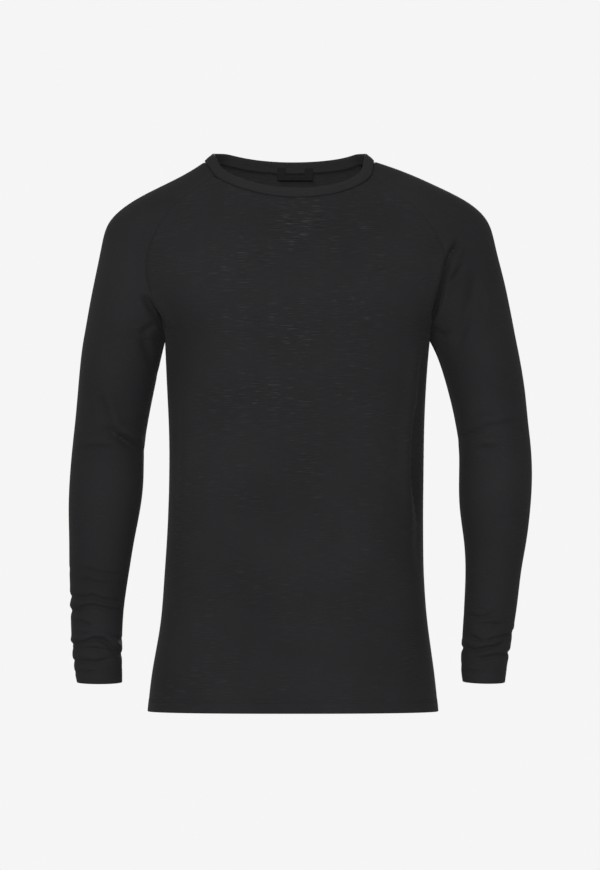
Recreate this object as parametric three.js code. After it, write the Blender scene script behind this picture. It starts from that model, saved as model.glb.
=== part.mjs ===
// A long-sleeved raglan base layer top in fine knit, in the hollow form it keeps on an upright wearer.
// X runs to the wearer's left, Y to the back and Z up, in millimetres.
// The origin lies midway between the shoulders, at the height where the neck opening rests on them.

import * as THREE from 'three';

// Cloth and making-up sizes
const clothWall = 1.4;
const turnedHemWall = 2.5;
const seamClearance = 0.36;
const bandHeight = 13;
const bandWall = 2.4;
const bandSeamWall = 1.5;
const bandBulge = 1.0;
const bandRoll = 0.3;
const bandEase = 9;
const bandLeanFront = 44;
const bandLeanBack = 18;
const bandLeanSide = 42;
const loopTapeWidth = 10.5;
const loopTapeWall = 1.2;
const loopBarHeight = 5.8;
const loopSpan = 45;
const loopDrop = 16;
const loopTopHeight = 1;
const loopCentreX = -1.25;
const loopSetIn = 57.95;
const loopCurve = 0.0022;

// Stations count down from the neck seam at 0
const underarm = 9;
const hemEdge = 17;
const hemStitch = 16.7;
const hemStepAbove = 16.64;
const wristStart = 16.8;
const cuffStitch = 20.28;
const cuffStepAbove = 20.2;
const cuffEdge = 21;

// Grid counts
const bodyColumns = 20;
const sleeveColumns = 18;
const raglanRows = 12;
const bodyRows = 11;
const armRows = 13;
const wristRows = 23;
const cuffRows = 2;
const degrees = Math.PI / 180;

const clamp = (value, low, high) => Math.min(Math.max(value, low), high);

const smooth = (value) => {
  const share = clamp(value, 0, 1);
  return share * share * (3 - 2 * share);
};

// A natural cubic curve through values that stand one station apart
function curveThrough(values) {
  const last = values.length - 1;
  const bend = values.map(() => 0);
  const carry = values.map(() => 0);
  for (let i = 1; i < last; i += 1) {
    const pivot = bend[i - 1] / 2 + 2;
    bend[i] = -0.5 / pivot;
    carry[i] = (3 * (values[i + 1] - 2 * values[i] + values[i - 1]) - carry[i - 1] / 2) / pivot;
  }
  for (let i = last - 1; i > 0; i -= 1) {
    bend[i] = bend[i] * bend[i + 1] + carry[i];
  }
  return (station) => {
    const i = clamp(Math.floor(station), 0, last - 1);
    const b = station - i;
    const a = 1 - b;
    const straight = a * values[i] + b * values[i + 1];
    return straight + ((a ** 3 - a) * bend[i] + (b ** 3 - b) * bend[i + 1]) / 6;
  };
}

// The same with a corner at the underarm, where the sleeve leaves the body
function curveWithCorner(values) {
  const above = curveThrough(values.slice(0, underarm + 1));
  const below = curveThrough(values.slice(underarm));
  return (station) => (station < underarm ? above(station) : below(station - underarm));
}

function tableOf(names, rows) {
  const curves = names.map((name, column) => {
    const curve = name.startsWith('inner') ? curveWithCorner : curveThrough;
    return [name, curve(rows.map((row) => row[column]))];
  });
  return Object.fromEntries(curves);
}

// Sleeve on the wearer's left: the inner edge, which is the front raglan seam down to the underarm,
// and the outer edge
const leftSleeve = tableOf(['innerX', 'innerZ', 'outerX', 'outerZ'], [
  [93.5, -14, 96.5, 4.5],
  [112, -30, 138, -10],
  [135, -45, 181, -29],
  [159, -69, 216, -47.5],
  [175, -93, 240, -71.5],
  [184.5, -122, 250, -104],
  [181, -150, 259, -140],
  [173.5, -178, 266, -172],
  [168, -202, 271, -198],
  [167, -219.5, 275, -219],
  [178.5, -244, 280, -244],
  [190, -281, 286, -281],
  [199, -319, 290, -319],
  [204, -356, 294, -356],
  [204, -394, 295, -394],
  [205, -431, 292.5, -431],
  [210, -469, 287.5, -469],
  [212.5, -506, 281, -506],
  [211.5, -544, 276, -544],
  [209, -581, 270, -581],
  [205.5, -619, 263, -619],
  [207, -643, 259, -644],
]);

// Sleeve on the wearer's right
const rightSleeve = tableOf(['innerX', 'innerZ', 'outerX', 'outerZ'], [
  [-99, -14, -113, 4.4],
  [-113, -25, -141, -13],
  [-134, -41, -178, -31.5],
  [-156, -60, -210, -49.5],
  [-172, -85, -234, -72.5],
  [-183, -115, -243.5, -103],
  [-182.5, -147, -251, -140],
  [-173, -178, -257.5, -173],
  [-165.5, -203, -262, -199],
  [-163.5, -219.5, -265.5, -219],
  [-169.5, -244, -269, -244],
  [-177.5, -281, -272.5, -281],
  [-185, -319, -276, -319],
  [-190, -356, -280, -356],
  [-191, -394, -283, -394],
  [-195, -431, -284, -431],
  [-202.5, -469, -283, -469],
  [-209, -506, -282.5, -506],
  [-215, -544, -281, -544],
  [-217.5, -581, -280, -581],
  [-216.5, -619, -276.5, -619],
  [-216, -644, -271.5, -644],
]);

// Depths of both sleeves in front of and behind the middle line, and where that line runs
const sleeveDepth = tableOf(['front', 'back', 'middleY'], [
  [35, 53, -2],
  [46, 65, -1],
  [57, 75, 0.5],
  [64, 81, 2],
  [67, 81, 3.2],
  [67, 79, 4],
  [67, 78, 3.2],
  [66, 75, 2],
  [64, 70, 0.8],
  [62, 66, 0],
  [60, 63, 1],
  [57, 59, 2.2],
  [54, 55, 3.2],
  [51, 52, 4],
  [49, 49, 2],
  [47, 47, -2],
  [43, 43, -7.5],
  [39, 39, -14],
  [36, 36, -20],
  [33, 33, -26],
  [31, 31, -31.5],
  [30, 30, -36],
]);

// How far the sleeve cloth reaches round the arm, from part of the way at the neck to a full turn
const sleeveWrap = curveThrough([-0.5, -0.45, -0.42, -0.38, -0.3, -0.2, 0.02, 0.45, 0.84, 1, 1, 1]);

// Back raglan seam
const backSeam = tableOf(['rightX', 'leftX', 'z'], [
  [-90, 78, 5],
  [-103, 94, -14],
  [-120, 113, -38],
  [-137, 132, -65],
  [-151, 148, -93],
  [-161, 160, -122],
  [-167, 167, -150],
  [-168, 169, -178],
  [-166, 168, -202],
  [-163.5, 167, -219.5],
]);

// Front and back panels on the centre line
const body = tableOf(['frontY', 'frontZ', 'backY', 'backZ'], [
  [-72, -42.5, 62, -5],
  [-80, -57, 74, -23],
  [-89, -76, 85, -44],
  [-97, -98, 94, -68],
  [-104, -121, 101, -94],
  [-110, -144, 106, -122],
  [-114, -166, 109, -149],
  [-116, -187, 110.5, -176],
  [-117, -205, 110.5, -201],
  [-117, -221, 110, -221],
  [-116, -275, 105, -275],
  [-113, -335, 97, -335.5],
  [-109, -395, 92, -396.5],
  [-107, -455, 93, -458],
  [-107.5, -515, 99, -520],
  [-109, -569, 106, -577],
  [-111.5, -622.5, 113, -634],
  [-113, -676.8, 117, -688],
]);

// Roundness of the chest and back sections: two powers that shape each quarter
const bodyRoundness = tableOf(['across', 'edge'], [
  [2, 0.5],
  [2.1, 0.6],
  [2.2, 0.7],
  [2.2, 0.8],
  [2.2, 0.85],
  [2.2, 0.85],
  [2.3, 0.74],
  [2.4, 0.58],
  [2.5, 0.45],
  [2.5, 0.42],
  [2.5, 0.42],
  [2.5, 0.42],
]);

// Side seams, from the underarm down to the hem
const sideSeam = tableOf(['rightX', 'leftX', 'z'], [
  [-163.5, 167, -219.5],
  [-161, 162.5, -275],
  [-158.5, 160, -335.5],
  [-158.5, 159, -396.5],
  [-160.5, 159, -457.5],
  [-164.5, 160, -518.5],
  [-169.5, 164.5, -575.5],
  [-179, 172, -632],
  [-185.5, 178, -685.5],
]);
const neckCentreX = -5;
const underarmCentreX = 1.75;

// Main folds, as lines in the front view through a start, a middle and an end. A positive depth
// is a trough, a negative one a ridge, and a fold on face 'round' runs right round the sleeve.
function foldsOf(rows) {
  return rows.map(([face, x0, z0, x1, z1, x2, z2, width, depth]) => ({
    face,
    width,
    depth,
    line: new THREE.QuadraticBezierCurve(
      new THREE.Vector2(x0, z0),
      new THREE.Vector2(2 * x1 - (x0 + x2) / 2, 2 * z1 - (z0 + z2) / 2),
      new THREE.Vector2(x2, z2),
    ).getPoints(24),
  }));
}

const rightSleeveFolds = foldsOf([
  ['front', -247, -345, -225, -335, -192, -362, 9, 4],
  ['back', -250, -330, -228, -342, -198, -338, 9, 3.5],
  ['back', -262, -352, -238, -360, -205, -356, 8, 3],
  ['front', -189, -152, -178, -175, -166, -197, 8, 3],
  ['back', -196, -140, -184, -172, -170, -205, 9, 4],
  ['round', -284, -510, -245, -508, -208, -514, 6, 1.6],
  ['round', -284, -545, -250, -537, -208, -548, 6, 2],
  ['round', -284, -560, -250, -552, -208, -562, 6, 2.2],
  ['round', -284, -588, -250, -578, -208, -586, 6, 1.8],
  ['round', -284, -606, -248, -588, -208, -606, 6.5, 3],
  ['round', -284, -621, -245, -618, -208, -622, 5.5, 1.6],
]);

const leftSleeveFolds = foldsOf([
  ['front', 204, -96, 190, -125, 168, -205, 8, 5],
  ['front', 228, -134, 212, -180, 200, -240, 14, 2.5],
  ['front', 204, -340, 240, -318, 290, -330, 9, 4],
  ['front', 222, -352, 240, -357, 258, -352, 7, 2.5],
  ['back', 200, -140, 186, -172, 172, -205, 9, 4],
  ['back', 208, -334, 236, -342, 270, -334, 9, 3.5],
  ['back', 212, -356, 240, -362, 268, -358, 8, 3],
  ['round', 204, -565, 235, -556, 280, -560, 6, 1.6],
  ['round', 204, -592, 240, -590, 280, -579, 6, 2.2],
  ['round', 204, -603, 235, -609, 280, -586, 6, 3],
  ['round', 204, -620, 240, -617, 280, -621, 5.5, 1.4],
]);

const frontFolds = foldsOf([
  ['front', 158, -280, 148, -400, 159, -530, 11, 5],
  ['front', -152, -225, -149, -330, -155, -435, 11, 2.5],
]);

const backFolds = foldsOf([
  ['back', -70, -380, 0, -398, 75, -384, 18, 4.5],
  ['back', -95, -425, 5, -445, 90, -428, 18, 3.5],
  ['back', 150, -250, 142, -340, 150, -440, 12, 4],
  ['back', -150, -250, -140, -350, -150, -450, 12, 4],
]);

// A point of a sleeve: share 0 lies on the front seam, 0.5 on the outer edge and 1 on the back seam
function sleevePoint(table, seamX, station, share) {
  const wrap = station < underarm ? Math.min(sleeveWrap(station), 1) : 1;
  const opening = Math.PI / 2 + Math.asin(wrap);
  const angle = (2 * share - 1) * opening;
  const centre = wrap / (1 + wrap);
  const outward = centre + (1 - centre) * Math.cos(angle);
  const behind = angle > 0;
  const onBackSeam = behind && station < underarm;
  const innerX = onBackSeam ? backSeam[seamX](station) : table.innerX(station);
  const innerZ = onBackSeam ? backSeam.z(station) : table.innerZ(station);
  const depth = behind ? sleeveDepth.back(station) : sleeveDepth.front(station);
  return new THREE.Vector3(
    innerX + (table.outerX(station) - innerX) * outward,
    sleeveDepth.middleY(station) + depth * Math.sin(angle),
    innerZ + (table.outerZ(station) - innerZ) * outward,
  );
}

const leftSleevePoint = (station, share) => sleevePoint(leftSleeve, 'leftX', station, share);
const rightSleevePoint = (station, share) => sleevePoint(rightSleeve, 'rightX', station, share);

// Where a body panel ends at one side: on the raglan seam, or on the side seam below the underarm
function bodyEdge(face, sideName, station) {
  if (station <= underarm) {
    const onSleeve = sideName === 'leftX' ? leftSleevePoint : rightSleevePoint;
    return onSleeve(station, face === 'front' ? 0 : 1);
  }
  const below = station - underarm;
  return new THREE.Vector3(sideSeam[sideName](below), 0, sideSeam.z(below));
}

// A point of the front or back panel, across from -1 at the wearer's right to 1 at the left
function bodyPoint(face, station, across) {
  const upper = Math.min(station, underarm);
  const edge = bodyEdge(face, across < 0 ? 'rightX' : 'leftX', station);
  const centreShare = station / underarm;
  const levelCentreX = (sideSeam.rightX(station - underarm) + sideSeam.leftX(station - underarm)) / 2;
  const raglanCentreX = neckCentreX + (underarmCentreX - neckCentreX) * centreShare;
  const centreX = station < underarm ? raglanCentreX : levelCentreX;
  const centreY = face === 'front' ? body.frontY(station) : body.backY(station);
  const centreZ = face === 'front' ? body.frontZ(station) : body.backZ(station);
  const reach = Math.sin(Math.abs(across) * Math.PI / 2);
  const power = bodyRoundness.across(upper);
  const edgePower = bodyRoundness.edge(upper);
  const cut = 1 - clamp(edge.y / centreY, 0, 1) ** (1 / edgePower);
  const depth = Math.max(1 - cut * reach ** power, 0) ** edgePower;
  const sag = 0.7 + 0.3 * clamp(station / 2, 0, 1);
  const level = station < underarm ? (1 - reach * reach) ** sag : depth;
  return new THREE.Vector3(
    centreX + (edge.x - centreX) * reach,
    centreY * depth,
    edge.z + (centreZ - edge.z) * level,
  );
}

// A piece of cloth as a grid: rows run down, columns run left to right seen from outside.
// From row closedFrom on, the last column is the first again, which makes a tube.
function gridOf(points, closedFrom = Infinity) {
  const last = points[0].length - 1;
  const corners = [];
  const at = points.map((row, i) => row.map((point, j) => {
    if (j === last && i >= closedFrom) {
      return -1;
    }
    corners.push(point.clone());
    return corners.length - 1;
  }));
  at.filter((row) => row[last] < 0).forEach((row) => {
    row[last] = row[0];
  });
  const faces = [];
  for (let i = 0; i + 1 < at.length; i += 1) {
    for (let j = 0; j < last; j += 1) {
      faces.push([at[i][j], at[i + 1][j], at[i + 1][j + 1]]);
      faces.push([at[i][j], at[i + 1][j + 1], at[i][j + 1]]);
    }
  }
  return { corners, at, faces, last, closedFrom, normals: [] };
}

function findNormals(grid) {
  grid.normals = grid.corners.map(() => new THREE.Vector3());
  grid.faces.forEach(([a, b, c]) => {
    const first = grid.corners[b].clone().sub(grid.corners[a]);
    const second = grid.corners[c].clone().sub(grid.corners[a]);
    const area = first.cross(second);
    [a, b, c].forEach((corner) => grid.normals[corner].add(area));
  });
  grid.normals.forEach((normal) => normal.normalize());
}

// A fold on the front or back dies out where the cloth turns to the other face
const turnStart = -0.35;
const turnLength = 0.5;

function facing(face, normal) {
  if (face === 'round') {
    return 1;
  }
  const away = face === 'front' ? -normal.y : normal.y;
  return smooth((away - turnStart) / turnLength);
}

function foldShift(fold, point, normal) {
  const steps = fold.line.length - 1;
  let nearest = Infinity;
  let place = 0;
  fold.line.forEach((spot, i) => {
    const distance = Math.hypot(point.x - spot.x, point.z - spot.y);
    if (distance < nearest) {
      nearest = distance;
      place = i / steps;
    }
  });
  const offset = (nearest / fold.width) ** 2;
  const ends = fold.face === 'round' ? 1 : smooth(4 * place) * smooth(4 * (1 - place));
  return -fold.depth * (1 - offset) * Math.exp(-offset) * ends * facing(fold.face, normal);
}

// Folds fade out over the two columns nearest a seam, so that the panels still meet there
function pressFolds(grid, folds) {
  findNormals(grid);
  const moved = new Set();
  grid.at.forEach((row, i) => row.forEach((corner, j) => {
    if (moved.has(corner)) {
      return;
    }
    moved.add(corner);
    const fromSeam = Math.min(j, grid.last - j) / 2;
    const fade = i >= grid.closedFrom ? 1 : smooth(fromSeam);
    const point = grid.corners[corner];
    const normal = grid.normals[corner];
    const shift = folds.reduce((sum, fold) => sum + foldShift(fold, point, normal), 0);
    point.addScaledVector(normal, shift * fade);
  }));
  findNormals(grid);
}

const cornerAt = (grid, i, j) => {
  const row = clamp(i, 0, grid.at.length - 1);
  const wrapped = row >= grid.closedFrom ? (j + grid.last) % grid.last : clamp(j, 0, grid.last);
  return grid.at[row][wrapped];
};

const pointAt = (grid, i, j) => grid.corners[cornerAt(grid, i, j)];

// The direction from a corner on an edge into its own cloth, square to that edge
function intoCloth(grid, i, j, down, right) {
  const inward = pointAt(grid, i + down, j + right).clone().sub(pointAt(grid, i, j));
  const before = pointAt(grid, i - Math.abs(right), j - Math.abs(down));
  const along = pointAt(grid, i + Math.abs(right), j + Math.abs(down)).clone().sub(before);
  along.normalize();
  return inward.addScaledVector(along, -inward.dot(along)).normalize();
}

// Below this rise a seam counts as level or bulging
const levelSeam = 0.02;

// Two corners that meet at a seam. Where the cloth bulges out there, both walls share one
// direction, so that they don't cross inside.
function meet(one, other) {
  const [gridA, rowA, columnA, downA, rightA] = one;
  const [gridB, rowB, columnB] = other;
  const normalA = gridA.normals[cornerAt(gridA, rowA, columnA)];
  const normalB = gridB.normals[cornerAt(gridB, rowB, columnB)];
  const hollow = normalB.dot(intoCloth(gridA, rowA, columnA, downA, rightA)) > levelSeam;
  if (!hollow) {
    const shared = normalA.clone().add(normalB).normalize();
    normalA.copy(shared);
    normalB.copy(shared);
  }
}

// Draws the edges of a grid back from its seams
function drawBack(grid, edges) {
  const shifts = grid.corners.map(() => new THREE.Vector3());
  edges.forEach(([i, j, down, right]) => {
    const shift = intoCloth(grid, i, j, down, right).multiplyScalar(seamClearance / 2);
    shifts[cornerAt(grid, i, j)].add(shift);
  });
  grid.corners.forEach((point, corner) => point.add(shifts[corner]));
}

// Gives a grid its wall, inwards from the outer face, and closes it round the edges
function shellOf(grid, wallAt) {
  const count = grid.corners.length;
  const positions = [];
  const walls = new Array(count).fill(clothWall);
  grid.at.forEach((row, i) => row.forEach((corner) => {
    walls[corner] = wallAt(i);
  }));
  grid.corners.forEach((point) => positions.push(point.x, point.y, point.z));
  grid.corners.forEach((point, corner) => {
    const inner = point.clone().addScaledVector(grid.normals[corner], -walls[corner]);
    positions.push(inner.x, inner.y, inner.z);
  });
  const index = [];
  const open = new Map();
  grid.faces.forEach(([a, b, c]) => {
    index.push(a, b, c);
    index.push(count + a, count + c, count + b);
    [[a, b], [b, c], [c, a]].forEach(([from, to]) => {
      if (!open.delete(`${to} ${from}`)) {
        open.set(`${from} ${to}`, [from, to]);
      }
    });
  });
  open.forEach(([from, to]) => {
    index.push(to, from, count + from);
    index.push(to, count + from, count + to);
  });
  const geometry = new THREE.BufferGeometry();
  geometry.setAttribute('position', new THREE.Float32BufferAttribute(positions, 3));
  geometry.setIndex(index);
  geometry.computeVertexNormals();
  return geometry;
}

const spread = (from, to, count) => Array.from(
  { length: count },
  (unused, i) => from + (to - from) * (i + 1) / count,
);

const raglanStations = Array.from(
  { length: raglanRows + 1 },
  (unused, i) => underarm * (1 - (1 - i / raglanRows) ** 1.5),
);
const bodyStations = [
  ...raglanStations,
  ...spread(underarm, hemStepAbove, bodyRows),
  hemStitch,
  hemEdge,
];
const sleeveStations = [
  ...raglanStations,
  ...spread(underarm, wristStart, armRows),
  ...spread(wristStart, cuffStepAbove, wristRows),
  cuffStitch,
  ...spread(cuffStitch, cuffEdge, cuffRows),
];

const shares = (count) => Array.from({ length: count + 1 }, (unused, i) => i / count);

const front = gridOf(bodyStations.map((station) => (
  shares(bodyColumns).map((share) => bodyPoint('front', station, 2 * share - 1))
)));
const back = gridOf(bodyStations.map((station) => (
  shares(bodyColumns).map((share) => bodyPoint('back', station, 1 - 2 * share))
)));
const sleeveLeft = gridOf(sleeveStations.map((station) => (
  shares(sleeveColumns).map((share) => leftSleevePoint(station, share))
)), raglanRows);
const sleeveRight = gridOf(sleeveStations.map((station) => (
  shares(sleeveColumns).map((share) => rightSleevePoint(station, 1 - share))
)), raglanRows);

pressFolds(front, frontFolds);
pressFolds(back, backFolds);
pressFolds(sleeveLeft, leftSleeveFolds);
pressFolds(sleeveRight, rightSleeveFolds);

// The neckband stands on the neck edges of the four panels, anticlockwise from above
const neckEdge = [front, sleeveLeft, back, sleeveRight].flatMap((grid) => (
  grid.at[0].slice(0, -1).map((corner, j) => ({ grid, j, point: grid.corners[corner].clone() }))
));

// Rows of the neckband from its top edge down: height, bulge and wall
const bandRows = [
  { height: bandHeight, bulge: -bandRoll, wall: bandWall - 0.2 },
  { height: bandHeight * 0.88, bulge: bandBulge * 0.75, wall: bandWall },
  { height: bandHeight * 0.5, bulge: bandBulge, wall: bandWall },
  { height: bandHeight * 0.1, bulge: bandBulge * 0.45, wall: bandWall * 0.8 },
  { height: 0, bulge: 0, wall: bandSeamWall },
];

// The fold along the top of the band cuts the corners of the neck edge
const neckSpot = (j) => neckEdge[(j + neckEdge.length) % neckEdge.length].point;

const easedEdge = neckEdge.map(({ point }) => {
  const sum = new THREE.Vector3();
  let total = 0;
  neckEdge.forEach((spot, j) => {
    const width = neckSpot(j + 1).distanceTo(neckSpot(j - 1)) / 2;
    const weight = width * Math.exp(-((point.distanceTo(spot.point) / bandEase) ** 2));
    sum.addScaledVector(spot.point, weight);
    total += weight;
  });
  return sum.divideScalar(total);
});
const easePower = 0.7;

function bandPoint({ height, bulge }, j) {
  const count = neckEdge.length;
  const base = neckEdge[j % count].point;
  const next = neckEdge[(j + 1) % count].point;
  const before = neckEdge[(j + count - 1) % count].point;
  const out = new THREE.Vector3(next.y - before.y, before.x - next.x, 0).normalize();
  const leanCentre = out.y < 0 ? bandLeanFront : bandLeanBack;
  const lean = (leanCentre + (bandLeanSide - leanCentre) * out.x ** 2) * degrees;
  const upright = new THREE.Vector3(0, 0, 1);
  return base.clone()
    .lerp(easedEdge[j % count], (height / bandHeight) ** easePower)
    .addScaledVector(upright, height * Math.cos(lean) + bulge * Math.sin(lean))
    .addScaledVector(out, bulge * Math.cos(lean) - height * Math.sin(lean));
}

const bandColumns = Array.from({ length: neckEdge.length + 1 }, (unused, j) => j);
const neckband = gridOf(bandRows.map((row) => bandColumns.map((j) => bandPoint(row, j))), 0);
findNormals(neckband);

// Seams: the raglan seams, the side seams and the neck seam
raglanStations.forEach((station, i) => {
  meet([front, i, front.last, 0, -1], [sleeveLeft, i, 0]);
  meet([back, i, 0, 0, 1], [sleeveLeft, i, sleeveLeft.last]);
  meet([back, i, back.last, 0, -1], [sleeveRight, i, 0]);
  meet([front, i, 0, 0, 1], [sleeveRight, i, sleeveRight.last]);
});
bodyStations.forEach((station, i) => {
  if (station >= underarm) {
    meet([front, i, front.last, 0, -1], [back, i, 0]);
    meet([front, i, 0, 0, 1], [back, i, back.last]);
  }
});
neckEdge.forEach(({ grid, j }, place) => {
  meet([grid, 0, j, 1, 0], [neckband, bandRows.length - 1, place]);
});

const topEdge = (grid) => grid.at[0].map((corner, j) => [0, j, 1, 0]);
const bodySides = bodyStations.flatMap((station, i) => [
  [i, 0, 0, 1],
  [i, bodyColumns, 0, -1],
]);
const sleeveSides = raglanStations.slice(0, -1).flatMap((station, i) => [
  [i, 0, 0, 1],
  [i, sleeveColumns, 0, -1],
]);
drawBack(front, [...topEdge(front), ...bodySides]);
drawBack(back, [...topEdge(back), ...bodySides]);
drawBack(sleeveLeft, [...topEdge(sleeveLeft), ...sleeveSides]);
drawBack(sleeveRight, [...topEdge(sleeveRight), ...sleeveSides]);
drawBack(neckband, neckEdge.map((spot, j) => [bandRows.length - 1, j, -1, 0]));

// At the underarm the sleeve tube stands a little off the side seam
const underarmReach = 12;
[[sleeveLeft, 1, leftSleevePoint], [sleeveRight, -1, rightSleevePoint]].forEach(([grid, side, pointOn]) => {
  const pit = pointOn(underarm, 0);
  grid.corners.forEach((point) => {
    const near = Math.exp(-((point.distanceTo(pit) / underarmReach) ** 2));
    point.x += side * seamClearance * near;
  });
});

const bodyWall = (i) => (bodyStations[i] >= hemStitch ? turnedHemWall : clothWall);
const sleeveWall = (i) => (sleeveStations[i] >= cuffStitch ? turnedHemWall : clothWall);
const bandWallAt = (i) => bandRows[i].wall;

// The hanger loop: a tape in a U, hung inside the back of the neck and bent to its curve
function hangerLoop() {
  const half = loopSpan / 2;
  const inside = half - loopTapeWidth;
  const outline = new THREE.Shape([
    new THREE.Vector2(-half, 0),
    new THREE.Vector2(-half, -loopDrop),
    new THREE.Vector2(half, -loopDrop),
    new THREE.Vector2(half, 0),
    new THREE.Vector2(inside, 0),
    new THREE.Vector2(inside, loopBarHeight - loopDrop),
    new THREE.Vector2(-inside, loopBarHeight - loopDrop),
    new THREE.Vector2(-inside, 0),
  ]);
  const geometry = new THREE.ExtrudeGeometry(outline, { depth: loopTapeWall, bevelEnabled: false });
  geometry.rotateX(Math.PI / 2);
  geometry.translate(loopCentreX, 0, loopTopHeight);
  const place = geometry.attributes.position;
  for (let i = 0; i < place.count; i += 1) {
    const bent = loopSetIn - loopCurve * (place.getX(i) - neckCentreX) ** 2;
    place.setY(i, place.getY(i) + bent);
  }
  geometry.computeVertexNormals();
  return geometry;
}

const top = new THREE.Group();
const pieces = [
  ['front', shellOf(front, bodyWall), 0x28282a],
  ['back', shellOf(back, bodyWall), 0x28282a],
  ['sleeve_left', shellOf(sleeveLeft, sleeveWall), 0x272729],
  ['sleeve_right', shellOf(sleeveRight, sleeveWall), 0x2a2a2c],
  ['neckband', shellOf(neckband, bandWallAt), 0x2d2d2f],
  ['hanger_loop', hangerLoop(), 0x1e1e20],
];
pieces.forEach(([name, geometry, color]) => {
  const cloth = new THREE.MeshStandardMaterial({ color, roughness: 0.92, metalness: 0 });
  const piece = new THREE.Mesh(geometry, cloth);
  piece.name = name;
  top.add(piece);
});

export default top;
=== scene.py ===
# Long-sleeved raglan base layer top in fine charcoal merino jersey, in the hollow form it keeps when worn.
# Every cloth panel is laid out in millimetres from the pattern's own stations and then made in metres.
import math

import bpy
import numpy as np
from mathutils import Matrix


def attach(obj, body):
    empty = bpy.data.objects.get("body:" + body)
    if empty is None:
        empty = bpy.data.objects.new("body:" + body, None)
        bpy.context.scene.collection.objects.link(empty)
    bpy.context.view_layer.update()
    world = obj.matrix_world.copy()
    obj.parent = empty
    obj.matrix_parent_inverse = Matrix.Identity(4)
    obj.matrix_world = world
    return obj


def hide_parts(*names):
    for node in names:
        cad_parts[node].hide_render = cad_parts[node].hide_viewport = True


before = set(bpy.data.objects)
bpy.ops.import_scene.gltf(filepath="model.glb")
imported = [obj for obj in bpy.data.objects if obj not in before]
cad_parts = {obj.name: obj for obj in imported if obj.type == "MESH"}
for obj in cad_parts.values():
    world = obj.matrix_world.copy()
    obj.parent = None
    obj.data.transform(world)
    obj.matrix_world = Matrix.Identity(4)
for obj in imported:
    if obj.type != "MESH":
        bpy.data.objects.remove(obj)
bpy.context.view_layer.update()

mm = 0.001


def smooth(value):
    share = np.clip(value, 0, 1)
    return share * share * (3 - 2 * share)


def unit(vectors):
    size = np.linalg.norm(vectors, axis=-1, keepdims=True)
    return vectors / np.maximum(size, 1e-12)


# the making-up sizes, in millimetres

underarm, hemEdge, cuffEdge = 9, 17, 21      # stations, counted down from the neck seam

cloth = {
    "wall": 0.75,                # fine jersey
    "turnRadius": 0.85,          # the soft bend of a turned edge
    # depth of the panels' edges under the neckband, at the shares of their width in neckDitchAt
    "neckDitch": {"front": (3.4, 3.4, 3.4, 3.4, 3.4), "back": (1.6, 1.6, 1.6, 1.6, 1.6),
                  "sleeve_left": (3.4, 3, 1.2, 1.4, 1.6), "sleeve_right": (1.6, 1.4, 1.2, 3, 3.4)},
    "neckDitchAt": (0, 0.3, 0.5, 0.7, 1),
    "neckDitchWidth": 2.0,
    "seamGroove": 0.6,
    "seamGrooveWidth": 0.95,
    "seamRaise": 0.2,            # the allowance inside lifts the cloth beside the seam
    "edgeColumns": [0, 0.5, 1, 1.6, 2.4, 3.5, 5],
}


def curveThrough(values):
    # natural cubic through values one station apart
    values = np.array(values, float)
    count = len(values)
    bend = np.zeros(count)
    inside = count - 2
    system = 4 * np.eye(inside) + np.eye(inside, k=1) + np.eye(inside, k=-1)
    bend[1:-1] = np.linalg.solve(system, 6 * (values[2:] - 2 * values[1:-1] + values[:-2]))

    def at(station):
        station = np.asarray(station, float)
        i = np.clip(np.floor(station).astype(int), 0, count - 2)
        b = station - i
        a = 1 - b
        curved = ((a ** 3 - a) * bend[i] + (b ** 3 - b) * bend[i + 1]) / 6
        return a * values[i] + b * values[i + 1] + curved
    return at


def curveWithCorner(values):
    # the same with a corner at the underarm
    above = curveThrough(values[:underarm + 1])
    below = curveThrough(values[underarm:])
    return lambda station: np.where(station < underarm, above(station), below(station - underarm))


def tableOf(names, rows):
    table = {}
    for column, name in enumerate(names):
        curve = curveWithCorner if name.startswith("inner") else curveThrough
        table[name] = curve([row[column] for row in rows])
    return table


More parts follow.
